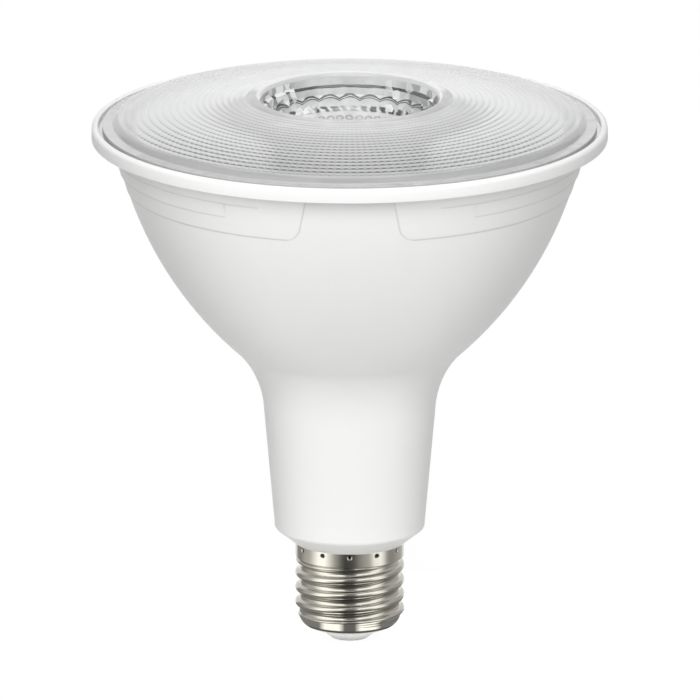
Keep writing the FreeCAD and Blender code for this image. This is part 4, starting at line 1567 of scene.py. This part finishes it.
@dataclass
class Studio:
    """Pale floor, white surroundings, soft lamps and the camera."""

    sight_z: float = 71.58
    sight_x: float = 0.07
    elevation_deg: float = 15.1
    focal_mm: float = 1500.0
    distance_per_focal: float = 4.678
    fill: float = 0.41
    lamps: tuple[Softbox, ...] = (
        Softbox("front_softbox", -3.0, 28.0, 1.4, 0.9, 14.0, in_gloss=False),
        Softbox("top_softbox", 0.0, 84.0, 1.3, 0.8, 5.6),
    )
    lamp_sight_z: float = 0.08
    dim_tones: tuple[Pair, ...] = ((-140, 0.14), (140, 0.14))
    near_tones: tuple[Pair, ...] = (
        (-140, 0.3), (-52, 0.3), (-40, 1.9), (-17, 1.9), (-8, 0.22),
        (8, 0.22), (17, 1.9), (42, 1.9), (54, 0.3), (140, 0.3),
    )
    foot_tones: tuple[Pair, ...] = (
        (-140, 0.3), (-70, 0.3), (-50, 0.36), (-25, 0.16), (-12, 0.07),
        (8, 0.07), (25, 0.14), (55, 0.34), (80, 0.25), (140, 0.25),
    )
    low_tones: tuple[Pair, ...] = (
        (-140, 0.4), (-119, 0.33), (-107, 0.55), (-88, 0.72), (-80, 1.05), (-66, 1.8), (-52, 1.9),
        (-45, 1.45), (-38, 1.0), (-30, 0.55), (-24, 0.38), (-17, 0.18), (-9, 0.08), (3, 0.11),
        (9, 0.15), (15, 0.28), (21, 0.4), (28, 0.5), (38, 0.62), (44, 0.95), (50, 1.45), (64, 1.6),
        (73, 1.1), (78, 0.65), (86, 0.4), (96, 0.4), (118, 0.55), (140, 0.7),
    )
    high_tones: tuple[Pair, ...] = (
        (-140, 0.6), (-95, 0.6), (-75, 1.5), (-50, 1.9), (-20, 1.8), (-12, 0.5), (-7, 0.32),
        (6, 0.32), (11, 0.5), (18, 1.7), (60, 1.7), (85, 0.6), (140, 0.6),
    )
    roof_tone: float = 0.3
    wall_shares: tuple[Pair, ...] = (
        (0.0, 0.0), (9.0, 0.0), (15.0, 1.0), (44.0, 1.0), (52.0, 0.0), (62.0, 0.0),
    )
    foot_glow: tuple[Pair, ...] = ((0.008, 1.08), (0.035, 1.08), (0.06, 0.648))
    card_reach: float = 0.5
    floor_half: float = 4.0
    sensor_mm: float = 36.0
    clip_end: float = 40.0

    def build(self) -> None:
        """Builds the whole studio."""
        self._world()
        self._floor()
        for softbox in self.lamps:
            self._lamp(softbox)
        self._surround()
        self._camera()

    def _direction(self, azimuth_deg: float, elevation_deg: float) -> Vector:
        """Way from the lamp to a light or the camera. 0 is the front and + turns towards +X.

        Args:
            azimuth_deg: the angle round the lamp.
            elevation_deg: the angle above level.

        Returns:
            A vector of length 1.
        """
        azimuth, elevation = math.radians(azimuth_deg), math.radians(elevation_deg)
        flat = math.cos(elevation)
        return Vector((math.sin(azimuth) * flat, -math.cos(azimuth) * flat, math.sin(elevation)))

    def _world(self) -> None:
        """White to the camera, metal and glass, and a soft grey fill to everything else."""
        world = bpy.data.worlds.new("studio")
        bpy.context.scene.world = world
        world.use_nodes = True
        world.node_tree.nodes.clear()
        maker = NodeMaker(world.node_tree)
        path = maker.node("ShaderNodeLightPath")
        seen = maker.value(path, "Is Camera Ray") + maker.value(path, "Is Transmission Ray")
        seen = (seen + maker.value(path, "Is Glossy Ray") * 0.85).clamped()
        strength = seen * (1.0 - self.fill) + self.fill
        light = maker.node("ShaderNodeBackground", None, {"Color": (1.0, 1.0, 1.0), "Strength": strength})
        maker.node("ShaderNodeOutputWorld", None, {"Surface": light.outputs[0]})

    def _floor(self) -> None:
        """White floor that keeps a faint shadow."""
        mesh = bpy.data.meshes.new("studio_floor")
        half = self.floor_half
        corners = [(-half, -half, 0), (half, -half, 0), (half, half, 0), (-half, half, 0)]
        mesh.from_pydata(corners, [], [(0, 1, 2, 3)])
        mesh.materials.append(FloorWhite().make())
        show("studio_floor", mesh)

    def _lamp(self, softbox: Softbox) -> None:
        """Adds one soft square lamp that faces the object.

        Args:
            softbox: the lamp's place, size and power.
        """
        data = bpy.data.lights.new(softbox.name, "AREA")
        data.shape = "SQUARE"
        data.size = softbox.size
        data.energy = softbox.power
        lamp = show(softbox.name, data)
        lamp.visible_glossy = softbox.in_gloss
        direction = self._direction(softbox.azimuth_deg, softbox.elevation_deg)
        lamp.location = direction * softbox.distance + Vector((0, 0, self.lamp_sight_z))
        lamp.rotation_euler = direction.to_track_quat("Z", "Y").to_euler()

    def _surround(self) -> None:
        """Adds the card that only shiny surfaces reflect, and the glow at the lamp's foot."""
        stations = [
            (0.0095, 0.0008, self.dim_tones),
            (0.0118, 0.0008, self.dim_tones),
            (0.0124, 0.0008, self.near_tones),
            (0.0165, 0.0008, self.near_tones),
            (0.0172, 0.0009, self.foot_tones),
            (0.034, 0.001, self.foot_tones),
            (0.046, 0.0012, self.low_tones),
        ]
        azimuths = spread(-140.0, 140.0, 140)
        rows = []
        for radius, z, tones in stations:
            rows.append((radius, z, [self._tone(tones, azimuth) for azimuth in azimuths]))
        roof = ((-140, self.roof_tone), (140, self.roof_tone))
        for number, (angle, share) in enumerate(self.wall_shares):
            ends = self.low_tones if number < 2 else roof
            tones = [
                self._tone(ends, azimuth) * (1 - share) + self._tone(self.high_tones, azimuth) * share
                for azimuth in azimuths
            ]
            rows.append((self.card_reach, math.tan(math.radians(angle)) * self.card_reach + 0.01, tones))
        self._card("studio_surround", azimuths, rows, "glossy")
        azimuths = spread(-180.0, 180.0, 48)
        glow = [(radius, 0.0004, [tone] * len(azimuths)) for radius, tone in self.foot_glow]
        self._card("studio_foot_glow", azimuths, glow, "diffuse")

    def _card(self, name: str, azimuths: Sequence[float], rows: Sequence[CardRow], seen_by: str) -> None:
        """Adds a card with its own tones.

        Args:
            name: the card's name.
            azimuths: angles of its columns, in degrees.
            rows: distance, height and tones of each row, in metres.
            seen_by: the one kind of ray that meets it.
        """
        places, marks = [], []
        for radius, z, tones in rows:
            for azimuth, tone in zip(azimuths, tones):
                flat = self._direction(azimuth, 0.0) * radius
                places.append((flat.x, flat.y, z))
                marks.append(tone / 2.0)
        width = len(azimuths)
        starts = [row * width + step for row in range(len(rows) - 1) for step in range(width - 1)]
        faces = [(start, start + 1, start + 1 + width, start + width) for start in starts]
        mesh = bpy.data.meshes.new(name)
        mesh.from_pydata(places, [], faces)
        mesh.attributes.new("tone", "FLOAT", "POINT").data.foreach_set("value", marks)
        mesh.materials.append(StudioCard().make())
        card = show(name, mesh)
        for way in ("camera", "diffuse", "glossy", "transmission", "volume_scatter", "shadow"):
            setattr(card, "visible_" + way, way == seen_by)

    @staticmethod
    def _tone(stops: Sequence[Pair], azimuth: float) -> float:
        """Tone at an angle, straight between the stops.

        Args:
            stops: an angle and a tone for each stop.
            azimuth: the angle.

        Returns:
            The tone.
        """
        for (low, first), (high, second) in zip(stops, stops[1:]):
            if azimuth <= high:
                return first + (second - first) * (azimuth - low) / (high - low)
        return stops[-1][1]

    def _camera(self) -> None:
        """Adds the camera at the photograph's angle, far away with a long lens."""
        data = bpy.data.cameras.new("camera")
        data.lens = self.focal_mm
        data.sensor_width = self.sensor_mm
        data.clip_end = self.clip_end
        camera = show("camera", data)
        direction = self._direction(0.0, self.elevation_deg)
        sight = Vector((self.sight_x, 0.0, self.sight_z)) * MM
        camera.location = sight + direction * self.focal_mm * self.distance_per_focal * MM
        camera.rotation_euler = direction.to_track_quat("Z", "Y").to_euler()
        bpy.context.scene.camera = camera


@dataclass(frozen=True)
class StudioCard(Finish):
    """Surround whose tones are an attribute of its mesh, at half their strength."""

    name: str = "studio_surround_face"

    def surface(self, maker: NodeMaker, place: Socket) -> Socket:
        """Adds the surround's tones.

        Args:
            maker: adds the material's nodes.
            place: the place on the object, in metres.

        Returns:
            The shader.
        """
        tone = maker.mark("tone").clamped()
        return self.principled(
            maker,
            Base_Color=(0.0, 0.0, 0.0),
            Roughness=1.0,
            Specular_IOR_Level=0.0,
            Emission_Color=maker.blend(tone, (0.0, 0.0, 0.0), (1.0, 1.0, 0.98)),
            Emission_Strength=2.0,
        )


@dataclass(frozen=True)
class FloorWhite(Finish):
    """Floor that is white to the camera but for the object's faint shadow."""

    name: str = "floor_white"
    colour: Colour = (0.55, 0.55, 0.55)
    glow: float = 0.86
    glow_strength: float = 1.1

    def surface(self, maker: NodeMaker, place: Socket) -> Socket:
        """Adds a diffuse white, and a glow that only the camera, metal and glass see.

        Args:
            maker: adds the material's nodes.
            place: the place on the object, in metres.

        Returns:
            The shader.
        """
        path = maker.node("ShaderNodeLightPath")
        seen = maker.value(path, "Is Camera Ray") + maker.value(path, "Is Transmission Ray")
        seen = (seen + maker.value(path, "Is Glossy Ray")).clamped()
        matte = maker.node("ShaderNodeBsdfDiffuse", None, {"Color": self.colour})
        inputs = {"Color": (1.0, 1.0, 1.0), "Strength": self.glow_strength}
        glow = maker.node("ShaderNodeEmission", None, inputs)
        inputs = {0: seen * self.glow, 1: matte.outputs[0], 2: glow.outputs[0]}
        return maker.node("ShaderNodeMixShader", None, inputs).outputs[0]


def main() -> None:
    """Builds the lamp and the studio."""
    logging.basicConfig(level=logging.INFO, format="%(message)s")
    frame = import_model()
    Inside().dress(frame["nodes"])
    settle(ScrewCap().build(), "nickel_cap", "cap_shell")
    insulator, contact = CapBase().build()
    settle(insulator, "insulator_white", "cap_insulator")
    settle(contact, "contact_tin", "centre_contact")
    settle(Housing().build(), "housing_white", "housing")
    settle(Lens().build(), "lens_clear", "lens")
    chips, screws = LightEngine().build()
    settle(chips, "chip_phosphor", "light_chips")
    settle(screws, "screw_steel", "board_screws")
    Studio().build()
    scene = bpy.context.scene
    scene.view_settings.view_transform = "Standard"


if __name__ == "__main__":
    main()
